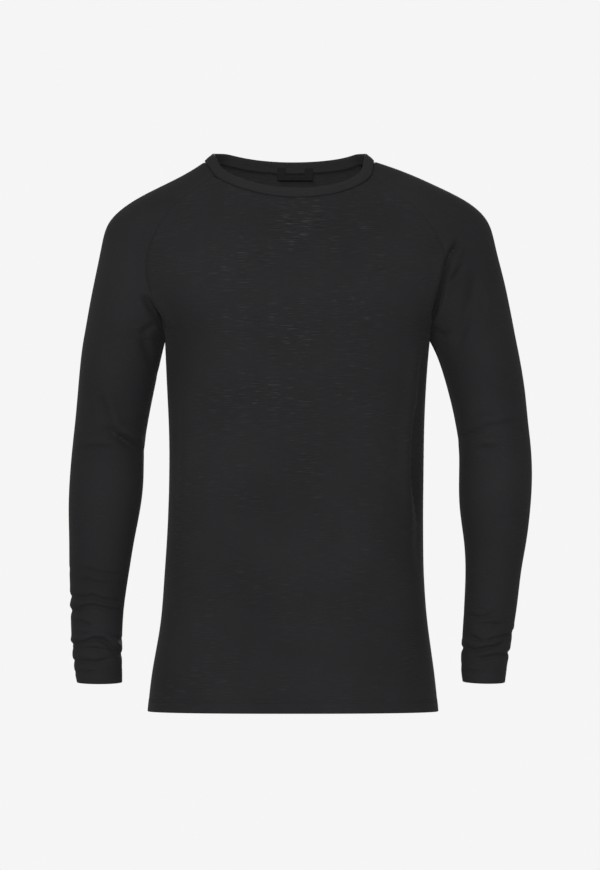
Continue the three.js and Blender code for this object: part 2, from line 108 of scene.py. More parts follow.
sleeves = {
    # each row is a station: the inner edge, which is the front seam down to the underarm and the
    # inside of the arm from there, and the outer edge
    "left": tableOf(["innerX", "innerZ", "outerX", "outerZ"], [
        [93.5, -11.8, 96.5, 4.5], [112, -30, 138, -10], [135, -45, 181, -29], [159, -69, 216, -47.5],
        [175, -93, 240, -71.5], [184.5, -122, 250, -104], [181, -150, 259, -140],
        [173.5, -178, 266, -172], [168, -202, 271, -198], [167, -219.5, 275, -219],
        [178.5, -244, 280, -244], [190, -281, 286, -281], [199, -319, 290, -319],
        [204, -356, 294, -356], [204, -394, 295, -394], [205, -431, 292.5, -431],
        [209.6, -469, 287.5, -469], [211.3, -506, 280.7, -506], [209.7, -544, 275.6, -544],
        [207.2, -581, 269.6, -581], [205, -619, 262.6, -619], [207, -643, 258.6, -644],
    ]),
    "right": tableOf(["innerX", "innerZ", "outerX", "outerZ"], [
        [-99, -15.4, -113, 4.4], [-113, -25, -141, -13], [-134, -41, -178, -31.5],
        [-156, -60, -210, -49.5], [-172, -85, -234, -72.5], [-183, -115, -243.5, -103],
        [-182.5, -147, -251, -140], [-173, -178, -257.5, -173], [-165.5, -203, -262, -199],
        [-163.5, -219.5, -265.5, -219], [-169.5, -244, -269, -244], [-177.5, -281, -272.5, -281],
        [-185, -319, -276, -319], [-190, -356, -280, -356], [-191, -394, -283, -394],
        [-195, -431, -284, -431], [-202, -469, -283, -469], [-207.8, -506, -282.2, -506],
        [-213.2, -544, -280.4, -544], [-215.8, -581, -279.2, -581], [-216, -619, -275.8, -619],
        [-215.8, -644, -271, -644],
    ]),
    # depth in front of the middle of the arm and behind it, and where that middle lies
    "depth": tableOf(["front", "back", "middleY"], [
        [35, 53, -2], [46, 65, -1], [57, 75, 0.5], [64, 81, 2], [67, 81, 3.2], [67, 79, 4],
        [67, 78, 3.2], [66, 75, 2], [64, 70, 0.8], [62, 66, 0], [60, 63, 1], [57, 59, 2.2],
        [54, 55, 3.2], [51, 52, 4], [49, 49, 2], [47, 47, -2], [43, 43, -7.5], [39, 39, -14],
        [36, 36, -20], [33, 33, -26], [31, 31, -31.5], [30, 30, -36],
    ]),
    # how far the panel closes round the arm: 1 is a full ring
    "wrap": curveThrough([-0.5, -0.45, -0.42, -0.38, -0.3, -0.2, 0.02, 0.45, 0.84, 1, 1, 1]),
}

# the back raglan seams, at the wearer's right and left
backSeam = tableOf(["right", "left", "z"], [
    [-90, 78, 5], [-103, 94, -14], [-120, 113, -38], [-137, 132, -65], [-151, 148, -93],
    [-161, 160, -122], [-167, 167, -150], [-168, 169, -178], [-166, 168, -202],
    [-163.5, 167, -219.5],
])

body = {
    # the centre lines of the front and the back
    "front": tableOf(["y", "z"], [
        [-72, -43.3], [-80, -57], [-89, -76], [-97, -98], [-104, -121], [-110, -144],
        [-114, -166], [-116, -187], [-117, -205], [-117, -221], [-116, -275], [-113, -335],
        [-109, -395], [-107, -455], [-107.5, -515], [-109, -569], [-111.5, -622.5],
        [-113, -676.8],
    ]),
    "back": tableOf(["y", "z"], [
        [62, -5], [74, -23], [85, -44], [94, -68], [101, -94], [106, -122], [109, -149],
        [110.5, -176], [110.5, -201], [110, -221], [105, -275], [97, -335.5], [92, -396.5],
        [93, -458], [99, -520], [106, -577], [113, -634], [117, -688],
    ]),
    # powers that round the body off across each panel and at its edges
    "roundness": tableOf(["across", "edge"], [
        [2, 0.5], [2.1, 0.6], [2.2, 0.7], [2.2, 0.8], [2.2, 0.85], [2.2, 0.85], [2.3, 0.74],
        [2.4, 0.58], [2.5, 0.45], [2.5, 0.42], [2.5, 0.42], [2.5, 0.42],
    ]),
    # the side seams, below the underarm
    "side": tableOf(["right", "left", "z"], [
        [-163.5, 167, -219.5], [-161, 162.5, -275], [-158.5, 160, -335.5],
        [-158.5, 159, -396.5], [-160.5, 159, -457.5], [-164.5, 160, -518.5],
        [-169.5, 164.5, -575.5], [-179, 172, -631], [-185, 177.5, -682.5],
    ]),
    "neckCentreX": {"front": 3, "back": -5},
    "neckCurve": (0.88, 0.64),      # how the front neck edge rises to the right and to the left
    "underarmCentreX": 1.75,
}


def sleevePoint(side, station, share):
    # share 0 lies on the front seam, 0.5 on the outer edge and 1 on the back seam
    station, share = np.broadcast_arrays(np.asarray(station, float), np.asarray(share, float))
    table, depths = sleeves[side], sleeves["depth"]
    wrap = np.where(station < underarm, np.minimum(sleeves["wrap"](station), 1), 1)
    opening = math.pi / 2 + np.arcsin(wrap)
    angle = (2 * share - 1) * opening
    centre = wrap / (1 + wrap)
    outward = centre + (1 - centre) * np.cos(angle)
    behind = angle > 0
    onBackSeam = behind & (station < underarm)
    innerX = np.where(onBackSeam, backSeam[side](station), table["innerX"](station))
    innerZ = np.where(onBackSeam, backSeam["z"](station), table["innerZ"](station))
    depth = np.where(behind, depths["back"](station), depths["front"](station))
    x = innerX + (table["outerX"](station) - innerX) * outward
    y = depths["middleY"](station) + depth * np.sin(angle)
    z = innerZ + (table["outerZ"](station) - innerZ) * outward
    return np.stack([x, y, z], axis=-1)


def bodyEdge(face, side, station):
    onSleeve = sleevePoint(side, np.minimum(station, underarm), 0 if face == "front" else 1)
    below = np.maximum(station - underarm, 0)
    onSide = np.stack([body["side"][side](below), 0 * below, body["side"]["z"](below)], axis=-1)
    return np.where((station <= underarm)[..., None], onSleeve, onSide)


def bodyPoint(face, station, across):
    # across runs from -1 at the wearer's right to 1 at the left
    station, across = np.broadcast_arrays(np.asarray(station, float), np.asarray(across, float))
    upper = np.minimum(station, underarm)
    edge = np.where((across < 0)[..., None], bodyEdge(face, "right", station),
                    bodyEdge(face, "left", station))
    below = np.maximum(station - underarm, 0)
    levelCentre = (body["side"]["right"](below) + body["side"]["left"](below)) / 2
    neckCentre = body["neckCentreX"][face]
    raglanCentre = neckCentre + (body["underarmCentreX"] - neckCentre) * station / underarm
    centreX = np.where(station < underarm, raglanCentre, levelCentre)
    centreY, centreZ = body[face]["y"](station), body[face]["z"](station)
    reach = np.sin(np.abs(across) * math.pi / 2)
    power, edgePower = body["roundness"]["across"](upper), body["roundness"]["edge"](upper)
    cut = 1 - np.clip(edge[..., 1] / centreY, 0, 1) ** (1 / edgePower)
    depth = np.maximum(1 - cut * reach ** power, 0) ** edgePower
    atNeck = np.where(across < 0, *body["neckCurve"])
    sag = atNeck + (1 - atNeck) * np.clip(station / 2, 0, 1)
    level = np.where(station < underarm, (1 - reach * reach) ** sag, depth)
    x = centreX + (edge[..., 0] - centreX) * reach
    z = edge[..., 2] + (centreZ - edge[..., 2]) * level
    return np.stack([x, centreY * depth, z], axis=-1)


# creases, in the front view in millimetres: line, width of the trough and its depth.
# The cloth rolls up in a soft lip above each trough, so that its upper side takes the light.

def crease(face, line, width, depth, lip=0.7, ends=(0.2, 0.2), keep=(0, 0), under=0.25):
    # ends are the shares of the line over which it dies out, keep what is left of it there
    return {"face": face, "line": np.array(line, float), "width": width, "depth": depth,
            "lip": lip, "ends": ends, "keep": keep, "under": under}


creaseForm = {
    # the first three are in widths of the crease
    "trough": (0.68, 1.2),       # reach of the trough above its line and below it
    "lip": (1.8, 1.4),           # place and reach of the roll above
    "under": (2.4, 1.7),         # and of the smaller roll below
    # how it comes in as the cloth turns to the crease's own side: share, start and reach
    "troughTurn": ((0.85, -0.35, 0.5), (0.85, 0.25, 0.6)),
    "lipTurn": (1.7, -0.15, 0.8),
}


def turnedTo(face, normals):
    # 1 where the cloth looks straight to that side, 0 where it stands edge on
    return -normals[..., 1] if face == "front" else normals[..., 1]


def creaseShift(fold, points, normals):
    flat = points[..., [0, 2]]
    nearest = np.full(flat.shape[:-1], np.inf)
    side = np.zeros(flat.shape[:-1])
    place = np.zeros(flat.shape[:-1])
    line = fold["line"]
    steps = np.linalg.norm(np.diff(line, axis=0), axis=1)
    total = steps.sum()
    run = 0
    for start, end, step in zip(line[:-1], line[1:], steps):
        along = (end - start) / step
        offset = flat - start
        t = np.clip(offset @ along, 0, step)
        gap = offset - t[..., None] * along
        distance = np.linalg.norm(gap, axis=-1)
        closer = distance < nearest
        nearest = np.where(closer, distance, nearest)
        turn = along[0] * offset[..., 1] - along[1] * offset[..., 0]
        side = np.where(closer, np.sign(turn), side)
        place = np.where(closer, (run + t) / total, place)
        run += step
    signed = nearest * side
    width, depth = fold["width"], fold["depth"]
    span = np.where(signed > 0, *creaseForm["trough"]) * width
    trough = -np.exp(-(signed / span) ** 2)
    lipAt, lipReach = creaseForm["lip"]
    underAt, underReach = creaseForm["under"]
    above = fold["lip"] * np.exp(-((signed - lipAt * width) / (lipReach * width)) ** 2)
    beneath = fold["under"] * np.exp(-((signed + underAt * width) / (underReach * width)) ** 2)
    fade = np.ones_like(place)
    for reach, kept, gone in ((fold["ends"][0], fold["keep"][0], place),
                              (fold["ends"][1], fold["keep"][1], 1 - place)):
        if reach:
            fade = fade * (kept + (1 - kept) * smooth(gone / reach))
    facing = turnedTo(fold["face"], normals)
    troughTurn = sum(share * smooth((facing - start) / reach)
                     for share, start, reach in creaseForm["troughTurn"])
    lipShare, lipStart, lipTurnReach = creaseForm["lipTurn"]
    lipTurn = lipShare * smooth((facing - lipStart) / lipTurnReach)
    return depth * fade * (trough * troughTurn + (above + beneath) * lipTurn)


broadForm = {
    "spots": 25,                 # points along each fold's line
    "fade": 4,                   # it dies out over a quarter of its length at each end
    "turnStart": -0.35,
    "turnReach": 0.5,
}


def broadShift(fold, points, normals):
    # a wide soft fold through three points, the same form as in the solids
    face, x0, z0, x1, z1, x2, z2, width, depth = fold
    t = np.linspace(0, 1, broadForm["spots"])[:, None]
    start, end = np.array([x0, z0]), np.array([x2, z2])
    middle = 2 * np.array([x1, z1]) - (start + end) / 2
    line = (1 - t) ** 2 * start + 2 * t * (1 - t) * middle + t ** 2 * end
    flat = points[..., [0, 2]]
    gaps = np.stack([np.linalg.norm(flat - spot, axis=-1) for spot in line])
    nearest = gaps.min(axis=0)
    place = gaps.argmin(axis=0) / (broadForm["spots"] - 1)
    offset = (nearest / width) ** 2
    fade = smooth(broadForm["fade"] * place) * smooth(broadForm["fade"] * (1 - place))
    fade = fade * smooth((turnedTo(face, normals) - broadForm["turnStart"]) / broadForm["turnReach"])
    return -depth * (1 - offset) * np.exp(-offset) * fade


creases = {
    "sleeve_right": [
        # elbow
        crease("front", [(-246, -279), (-240, -294), (-232, -319), (-225, -336), (-209, -348),
                         (-198, -358), (-190, -367)], 5, 2.2, 0.9, (0.2, 0.4)),
        crease("front", [(-221, -336), (-208, -344), (-194, -355), (-184, -363)], 4, 2.4, 0.6,
               (0.2, 0.5)),
        crease("front", [(-279, -359), (-267, -354), (-254, -352), (-234, -353), (-218, -358)],
               3.4, 1.7, 0.8, (0.4, 0.4)),
        # wrist, from the top
        crease("front", [(-276, -502), (-262, -503), (-253, -504), (-242, -508), (-223, -510),
                         (-208, -509)], 3.2, 0.9, 0.7, (0.3, 0.3)),
        crease("front", [(-274, -517), (-263, -516), (-256, -516), (-249, -519), (-240, -520),
                         (-225, -524)], 2.8, 0.9, 0.7, (0.3, 0.35)),
        crease("front", [(-292, -538), (-272, -538), (-258, -538), (-251, -536), (-241, -540),
                         (-226, -543), (-208, -542)], 3.4, 1.6, 0.7, (0, 0.35)),
        crease("front", [(-292, -556), (-266, -552), (-261, -549), (-254, -548), (-247, -548),
                         (-236, -551), (-226, -554), (-208, -556)], 3, 2.0, 0.8, (0, 0.35)),
        crease("front", [(-278, -563), (-270, -567), (-262, -569), (-247, -575)], 2.8, 1.5, 0.7,
               (0.3, 0.4)),
        crease("front", [(-270, -583), (-262, -583), (-253, -582), (-241, -577)], 3, 1.4, 0.7,
               (0.4, 0.4)),
        crease("front", [(-292, -597), (-272, -596), (-259, -592), (-249, -588), (-239, -589),
                         (-232, -594), (-226, -601), (-219, -606), (-213, -612)], 3, 2.5, 0.9,
               (0.3, 0.25), (0.8, 0.4)),
        crease("front", [(-229, -583), (-219, -589), (-206, -592)], 2.4, 1.5, 0.4, (0.5, 0.3)),
        crease("front", [(-292, -604), (-266, -600), (-257, -600), (-247, -600), (-240, -602),
                         (-222, -605)], 2.8, 1.6, 0.5, (0.3, 0.35), (0.5, 0)),
        crease("front", [(-292, -619), (-267, -616), (-255, -616), (-247, -617), (-236, -615),
                         (-222, -613)], 2.8, 1.6, 0.7, (0.3, 0.35), (0.9, 0)),
        crease("front", [(-284, -632), (-266, -629), (-250, -629), (-234, -629)], 2.4, 0.9, 0.5,
               (0.2, 0.4)),
        # the same wrist behind
        crease("back", [(-290, -505), (-262, -500), (-240, -503), (-218, -510)], 3.4, 1.0, 0.7,
               (0, 0.3)),
        crease("back", [(-290, -537), (-268, -531), (-244, -533), (-228, -539), (-214, -542)],
               3.6, 1.7, 0.8, (0, 0.5)),
        crease("back", [(-290, -555), (-270, -560), (-252, -556), (-234, -552), (-216, -556)],
               3.2, 2.0, 0.8, (0, 0.5)),
        crease("back", [(-280, -580), (-268, -577), (-256, -573), (-240, -576), (-222, -584)],
               3.2, 1.9, 0.8, (0.4, 0.3)),
        crease("back", [(-282, -596), (-266, -599), (-246, -594), (-226, -602), (-213, -611)],
               3, 2.1, 0.8, (0.2, 0.3), (0, 0.4)),
        crease("back", [(-290, -616), (-268, -612), (-246, -614), (-226, -618)], 3, 1.4, 0.7,
               (0, 0.3)),
        # behind the elbow
        crease("back", [(-283, -352), (-262, -344), (-240, -346), (-214, -354)], 4.5, 1.6, 0.7,
               (0.35, 0.35)),
        crease("back", [(-268, -388), (-244, -378), (-218, -380), (-196, -388)], 4.5, 1.4, 0.7),
        # armpit
        crease("front", [(-173, -199), (-185, -209), (-190, -216)], 3.5, 1.4, 0.6),
        crease("front", [(-189, -213), (-184, -231), (-179, -246), (-175, -259), (-171, -270)],
               4.5, 1.6, 0.6, (0.2, 0.3)),
        crease("back", [(-204, -146), (-192, -168), (-182, -188), (-172, -210)], 5, 2.4, 0.7),
        crease("back", [(-222, -160), (-208, -184), (-196, -208), (-186, -236)], 6, 1.6, 0.6),
    ],
    "sleeve_left": [
        # elbow
        crease("front", [(198, -351), (205, -343), (208, -338), (214, -336), (224, -332),
                         (232, -328), (241, -326), (249, -325), (260, -323), (268, -322),
                         (281, -325)], 3.6, 2.2, 0.8, (0.3, 0.25)),
        crease("front", [(245, -333), (256, -329), (266, -327), (283, -332)], 3, 1.2, 0.6,
               (0.3, 0.1)),
        crease("front", [(219, -360), (227, -355), (233, -353), (243, -352), (253, -353)], 3,
               1.2, 0.7, (0.3, 0.3)),
        crease("front", [(238, -364), (248, -362), (258, -364)], 2.6, 0.8, 0.6, (0.4, 0.4)),
        # wrist, from the top
        crease("front", [(207, -558), (214, -561), (226, -562), (232, -562), (238, -559),
                         (248, -553)], 3.2, 1.4, 0.7, (0.35, 0.3)),
        crease("front", [(220, -573), (228, -571), (234, -570), (242, -570), (251, -571),
                         (260, -570)], 2.8, 1.4, 0.7, (0.25, 0.4)),
        crease("front", [(208, -584), (213, -586), (220, -588), (233, -593), (238, -591),
                         (247, -588), (256, -584), (268, -581), (282, -579)], 3, 2.0, 0.8,
               (0.25, 0.4), (0, 0.5)),
        crease("front", [(203, -595), (211, -596), (225, -596), (236, -597)], 2.4, 1.1, 0.5,
               (0.2, 0.4)),
        crease("front", [(190, -598), (209, -600), (221, -602), (227, -601), (236, -599),
                         (245, -598), (250, -595), (262, -589)], 3, 2.5, 0.9, (0, 0.2)),
        crease("front", [(214, -611), (228, -613), (242, -609), (260, -607), (280, -606)], 3,
               1.8, 0.5, (0.3, 0)),
        crease("front", [(212, -622), (222, -622), (234, -622), (247, -621)], 2.6, 0.9, 0.6,
               (0.3, 0.4)),
        crease("front", [(203, -628), (221, -628), (234, -628)], 2.4, 0.8, 0.5, (0.3, 0.4)),
        # the same wrist behind
        crease("back", [(205, -557), (218, -560), (236, -556), (258, -549)], 3.6, 1.5, 0.7,
               (0.4, 0.3)),
        crease("back", [(214, -578), (228, -574), (244, -572), (262, -570)], 3.2, 1.7, 0.8,
               (0.3, 0.4)),
        crease("back", [(203, -586), (214, -590), (232, -593), (254, -588), (280, -583)], 3.2,
               2.0, 0.8, (0.4, 0.3), (0, 0.4)),
        crease("back", [(195, -600), (216, -604), (236, -602), (256, -606), (280, -604)], 3,
               2.0, 0.8, (0.2, 0), (0.7, 0)),
        crease("back", [(200, -622), (220, -619), (244, -622), (262, -626)], 2.8, 1.1, 0.6,
               (0.2, 0.3)),
        # behind the elbow
        crease("back", [(196, -334), (216, -342), (240, -340), (270, -330)], 4.5, 1.7, 0.7,
               (0.35, 0.35)),
        crease("back", [(206, -372), (230, -378), (256, -372), (278, -376)], 4.5, 1.4, 0.7),
        # armpit
        crease("front", [(180, -157), (187, -150), (199, -136), (210, -121)], 3.2, 1.9, 0.8,
               (0.15, 0.4)),
        crease("front", [(164, -197), (170, -205), (182, -213), (194, -207)], 3.5, 1.5, 0.6,
               (0.1, 0.4)),
        crease("front", [(226, -124), (222, -138), (220, -165), (214, -181), (208, -202),
                         (204, -213), (199, -229), (191, -243)], 6, 1.5, 0.5, (0.3, 0.25)),
        crease("front", [(232, -146), (231, -157), (230, -178), (224, -205), (219, -220)], 6,
               1.0, 0.5, (0.3, 0.3)),
        crease("back", [(206, -140), (196, -166), (186, -188), (176, -210)], 5, 2.4, 0.7),
        crease("back", [(226, -158), (214, -184), (204, -210), (196, -238)], 6, 1.6, 0.6),
    ],
    "seams": [
        # these lie in the armpit seams and are pressed into the panels on both sides
        crease("front", [(-197, -165), (-192, -167), (-187, -169), (-182, -173), (-177, -179),
                         (-172, -186), (-167, -194), (-163, -203), (-162, -212)],
               4.2, 3.2, 0.7, (0.3, 0.2)),
        crease("front", [(205, -98), (198, -106), (191.5, -114), (187, -125), (184.5, -138),
                         (182, -149), (178, -163), (174, -178), (170, -193), (168, -205)],
               3.0, 3.4, 0.8, (0.12, 0.15)),
        crease("front", [(183, -150), (180, -163), (176, -177), (173, -190), (170, -202)],
               5.5, 1.8, 0.3, (0.4, 0.2)),
        crease("back", [(-192, -160), (-182, -176), (-173, -192), (-166, -206)],
               4.6, 2.6, 0.6, (0.4, 0.25)),
        crease("back", [(169, -206), (175, -192), (182, -176), (190, -162)],
               4.6, 2.6, 0.5, (0.25, 0.4)),
    ],
    "front": [
        crease("front", [(155, -500), (155, -449), (150, -415), (146, -392), (145, -368),
                         (147, -326), (152, -294), (153, -272), (156, -245), (160, -222)],
               5.5, 2.4, 0.8, (0.3, 0.1)),
    ],
    "back": [
        crease("back", [(-120, -352), (-70, -366), (-10, -372), (60, -362), (118, -350)], 7,
               2.2, 0.8, (0.3, 0.3)),
        crease("back", [(-96, -402), (-40, -416), (30, -412), (92, -400)], 7, 1.8, 0.7,
               (0.35, 0.3)),
        crease("back", [(-150, -236), (-132, -252), (-112, -262)], 6, 1.6, 0.6, (0.1, 0.5)),
        crease("back", [(152, -236), (136, -254), (114, -264)], 6, 1.6, 0.6, (0.1, 0.5)),
    ],
}

# wide folds: face, start, middle and end as x and z, then width and depth
broadFolds = {
    "sleeve_right": [
        ("front", -247, -345, -225, -335, -192, -362, 9, 3),
        ("back", -250, -330, -228, -342, -198, -338, 9, 3.5),
        ("back", -262, -352, -238, -360, -205, -356, 8, 3),
        ("front", -189, -152, -178, -175, -166, -197, 8, 2),
        ("back", -196, -140, -184, -172, -170, -205, 9, 3),
    ],
    "sleeve_left": [
        ("front", 204, -96, 190, -125, 168, -205, 8, 3),
        ("front", 228, -134, 212, -180, 200, -240, 14, 2.5),
        ("front", 204, -340, 240, -318, 290, -330, 9, 3),
        ("front", 222, -352, 240, -357, 258, -352, 7, 2),
        ("back", 200, -140, 186, -172, 172, -205, 9, 3),
        ("back", 208, -334, 236, -342, 270, -334, 9, 3.5),
        ("back", 212, -356, 240, -362, 268, -358, 8, 3),
    ],
    "front": [
        ("front", 158, -280, 148, -400, 159, -530, 11, 4),
        ("front", -152, -225, -149, -330, -155, -435, 11, 2.5),
    ],
    "back": [
        ("back", -70, -380, 0, -398, 75, -384, 18, 4.5),
        ("back", -95, -425, 5, -445, 90, -428, 18, 3.5),
        ("back", 150, -250, 142, -340, 150, -440, 12, 4),
        ("back", -150, -250, -140, -350, -150, -450, 12, 4),
    ],
}


# the panels as grids: rows run down, columns left to right seen from outside

def spread(start, end, count):
    return start + (end - start) * np.arange(1, count + 1) / count


grids = {
    "bodyColumns": 150,
    "sleeveColumns": 104,
    "raglanRows": 100,
    "raglanCrowding": 1.25,          # above 1, rows come closer together towards the underarm
    "neckStations": (0, 0.025, 0.055),      # extra rows under the neckband
    "bodyRows": 150,
    "armRows": 88,
    "wristRows": 108,
    "wristStation": 16.5,            # the creases of the wrist begin here
    "hemTurn": 16,
    "cuffTurn": 18,
    "hemStitches": (15, 12),
    "cuffStitches": (16.5, 13.5),
    "aboveTurn": (6, 4, 2, 1, 0),    # rows over the end of the turned cloth
    "besideStitch": (0.8, 0.4, 0, -0.4, -0.8),
    "belowStitches": (9.5, 7.5, 5.5, 3.5, 2, 1, 0.4),
    "clearOfStitch": 1.5,
    "turnSteps": 7,                  # rows round the bend of a turned edge
    "seamSamples": 361,              # spots along a row from which its columns are measured off
}
hemScale = 54.3       # millimetres a station at the hem
cuffScale = 25        # millimetres a station at the cuff


def edgeStations(edge, scale, turn, stitches):
    # rows close together where an edge is turned and stitched, from above the stitching down
    heights = [turn + h for h in grids["aboveTurn"]]
    for stitch in stitches:
        heights += [stitch + h for h in grids["besideStitch"]]
    lowest = min(stitches) - grids["clearOfStitch"]
    heights += [h for h in grids["belowStitches"] if h < lowest] + [0]
    heights = np.array(sorted(set(heights), reverse=True))
    return edge - (heights + cloth["turnRadius"]) / scale, heights


raglanShares = np.arange(grids["raglanRows"] + 1) / grids["raglanRows"]
raglanStations = underarm * (1 - (1 - raglanShares) ** grids["raglanCrowding"])
raglanStations = np.concatenate([grids["neckStations"], raglanStations[1:]])
grids["raglanRows"] = len(raglanStations) - 1
hemStations, hemHeights = edgeStations(hemEdge, hemScale, grids["hemTurn"], grids["hemStitches"])
cuffStations, cuffHeights = edgeStations(cuffEdge, cuffScale, grids["cuffTurn"], grids["cuffStitches"])
bodyStations = np.concatenate([
    raglanStations, spread(underarm, hemStations[0], grids["bodyRows"]), hemStations[1:]])
sleeveStations = np.concatenate([
    raglanStations, spread(underarm, grids["wristStation"], grids["armRows"]),
    spread(grids["wristStation"], cuffStations[0], grids["wristRows"]), cuffStations[1:]])


def layRows(pointOn, stations, count):
    # columns keep fixed distances from the seams and spread evenly between them
    edge = np.array(cloth["edgeColumns"])
    dense = np.linspace(0, 1, grids["seamSamples"])
    lines = pointOn(stations[:, None], dense[None, :])
    runs = np.concatenate([np.zeros((len(stations), 1)),
                           np.cumsum(np.linalg.norm(np.diff(lines, axis=1), axis=-1), axis=1)], axis=1)
    shares, across = [], []
    for run in runs:
        total = run[-1]
        middle = np.linspace(edge[-1], total - edge[-1], count - 2 * len(edge) + 3)[1:-1]
        wanted = np.concatenate([edge, middle, total - edge[::-1]])
        shares.append(np.interp(wanted, run, dense))
        across.append(wanted)
    shares, across = np.array(shares), np.array(across)
    return pointOn(stations[:, None], shares), across, runs[:, -1]


def gridNormals(points, closedFrom):
    down = np.gradient(points, axis=0)
    right = np.empty_like(points)
    right[:, 1:-1] = points[:, 2:] - points[:, :-2]
    right[:, 0] = points[:, 1] - points[:, 0]
    right[:, -1] = points[:, -1] - points[:, -2]
    if closedFrom is not None:
        wrapped = points[closedFrom:, 1] - points[closedFrom:, -2]
        right[closedFrom:, 0] = wrapped
        right[closedFrom:, -1] = wrapped
    return unit(np.cross(down, right))


panels = {}


def addPanel(name, pointOn, stations, count, closedFrom=None):
    # closedFrom is the row from which a sleeve's two sides meet in its own seam
    points, across, totals = layRows(pointOn, stations, count)
    panels[name] = {
        "points": points, "across": across, "totals": totals, "stations": stations,
        "closedFrom": closedFrom, "normals": gridNormals(points, closedFrom),
    }


addPanel("front", lambda s, t: bodyPoint("front", s, 2 * t - 1), bodyStations,
         grids["bodyColumns"])
addPanel("back", lambda s, t: bodyPoint("back", s, 1 - 2 * t), bodyStations,
         grids["bodyColumns"])
addPanel("sleeve_left", lambda s, t: sleevePoint("left", s, t), sleeveStations,
         grids["sleeveColumns"], grids["raglanRows"])
addPanel("sleeve_right", lambda s, t: sleevePoint("right", s, 1 - t), sleeveStations,
         grids["sleeveColumns"], grids["raglanRows"])
print("panels laid out")

# which edge of which panel is sewn to which, by column, over a span of rows
raglanSpan = slice(0, grids["raglanRows"] + 1)
sideSpan = slice(grids["raglanRows"], len(bodyStations))
seams = [
    ("front", -1, "sleeve_left", 0, raglanSpan),
    ("back", 0, "sleeve_left", -1, raglanSpan),
    ("back", -1, "sleeve_right", 0, raglanSpan),
    ("front", 0, "sleeve_right", -1, raglanSpan),
    ("front", -1, "back", 0, sideSpan),
    ("front", 0, "back", -1, sideSpan),
]


def joinSeams():
    # both panels take one normal along a seam
    for one, columnA, other, columnB, span in seams:
        a, b = panels[one]["normals"], panels[other]["normals"]
        shared = unit(a[span, columnA] + b[span, columnB])
        a[span, columnA] = shared
        b[span, columnB] = shared
    row = grids["raglanRows"]
    for side, frontColumn, backColumn in (("sleeve_left", -1, 0), ("sleeve_right", 0, -1)):
        cloths = [panels["front"]["normals"], panels["back"]["normals"], panels[side]["normals"]]
        columns = [frontColumn, backColumn, 0]
        shared = unit(sum(n[row, c] for n, c in zip(cloths, columns)) + cloths[2][row, -1])
        for n, c in zip(cloths, columns):
            n[row, c] = shared
        cloths[2][row, -1] = shared


joinSeams()


pressing = {
    "foldFade": 9,               # folds die out this near a seam
    "foldReturn": 0.6,           # stations below the underarm over which they cross a sleeve's seam again
    "raise": (4, 2.2),           # where the cloth beside a seam rises, and over what reach
    "ditchRows": 8,
    "dent": {"body": 0.35, "sleeve": 0.25},      # depth of a line of stitching
    "dentReach": 0.55,
    "double": 0.35,              # how far the turned edge stands proud
    "doubleStart": 2,            # from this far above its upper stitching
    "doubleReach": 3,
}


def pressPanel(name):
    panel = panels[name]
    points, normals = panel["points"], panel["normals"]
    isBody = panel["closedFrom"] is None
    fromEdge = np.minimum(panel["across"], panel["totals"][:, None] - panel["across"])
    move = np.zeros(points.shape[:2])
    for fold in broadFolds[name]:
        move += broadShift(fold, points, normals)
    for fold in creases[name]:
        move += creaseShift(fold, points, normals)
    fade = smooth(fromEdge / pressing["foldFade"])
    if not isBody:
        # below the underarm the sleeve's own seam lies inside the arm, and folds run across it
        closed = slice(panel["closedFrom"], None)
        below = panel["stations"][closed, None] - underarm
        fade[closed] = np.maximum(fade[closed], smooth(below / pressing["foldReturn"]))
    move *= fade
    for fold in creases["seams"]:
        move += creaseShift(fold, points, normals)
    groove = cloth["seamGroove"] * np.exp(-(fromEdge / cloth["seamGrooveWidth"]) ** 2)
    raiseAt, raiseReach = pressing["raise"]
    raised = cloth["seamRaise"] * np.exp(-((fromEdge - raiseAt) / raiseReach) ** 2)
    move += raised - groove
    fromNeck = np.linalg.norm(points - points[:1], axis=-1)
    fromNeck[pressing["ditchRows"]:] = np.inf
    acrossNeck = np.linspace(0, 1, points.shape[1])
    ditch = np.interp(acrossNeck, cloth["neckDitchAt"], cloth["neckDitch"][name])
    panel["neckLine"] = points[0] + normals[0] * move[0][:, None]
    move -= ditch * np.exp(-(fromNeck / cloth["neckDitchWidth"]) ** 2)
    # two rows of stitching press a line each into the turned edge
    heights = hemHeights if isBody else cuffHeights
    stitches = grids["hemStitches"] if isBody else grids["cuffStitches"]
    dent = pressing["dent"]["body" if isBody else "sleeve"]
    rowHeights = np.full(len(points), np.inf)
    rowHeights[-len(heights):] = heights
    for stitch in stitches:
        move -= dent * np.exp(-((rowHeights - stitch) / pressing["dentReach"]) ** 2)[:, None]
    # the turned edge is double, and stands a little proud below its stitching
    doubled = max(stitches) + pressing["doubleStart"] - rowHeights
    move += pressing["double"] * smooth(doubled / pressing["doubleReach"])[:, None]
    panel["points"] = points + normals * move[..., None]
    panel["normals"] = gridNormals(panel["points"], panel["closedFrom"])


for panelName in panels:
    pressPanel(panelName)
joinSeams()


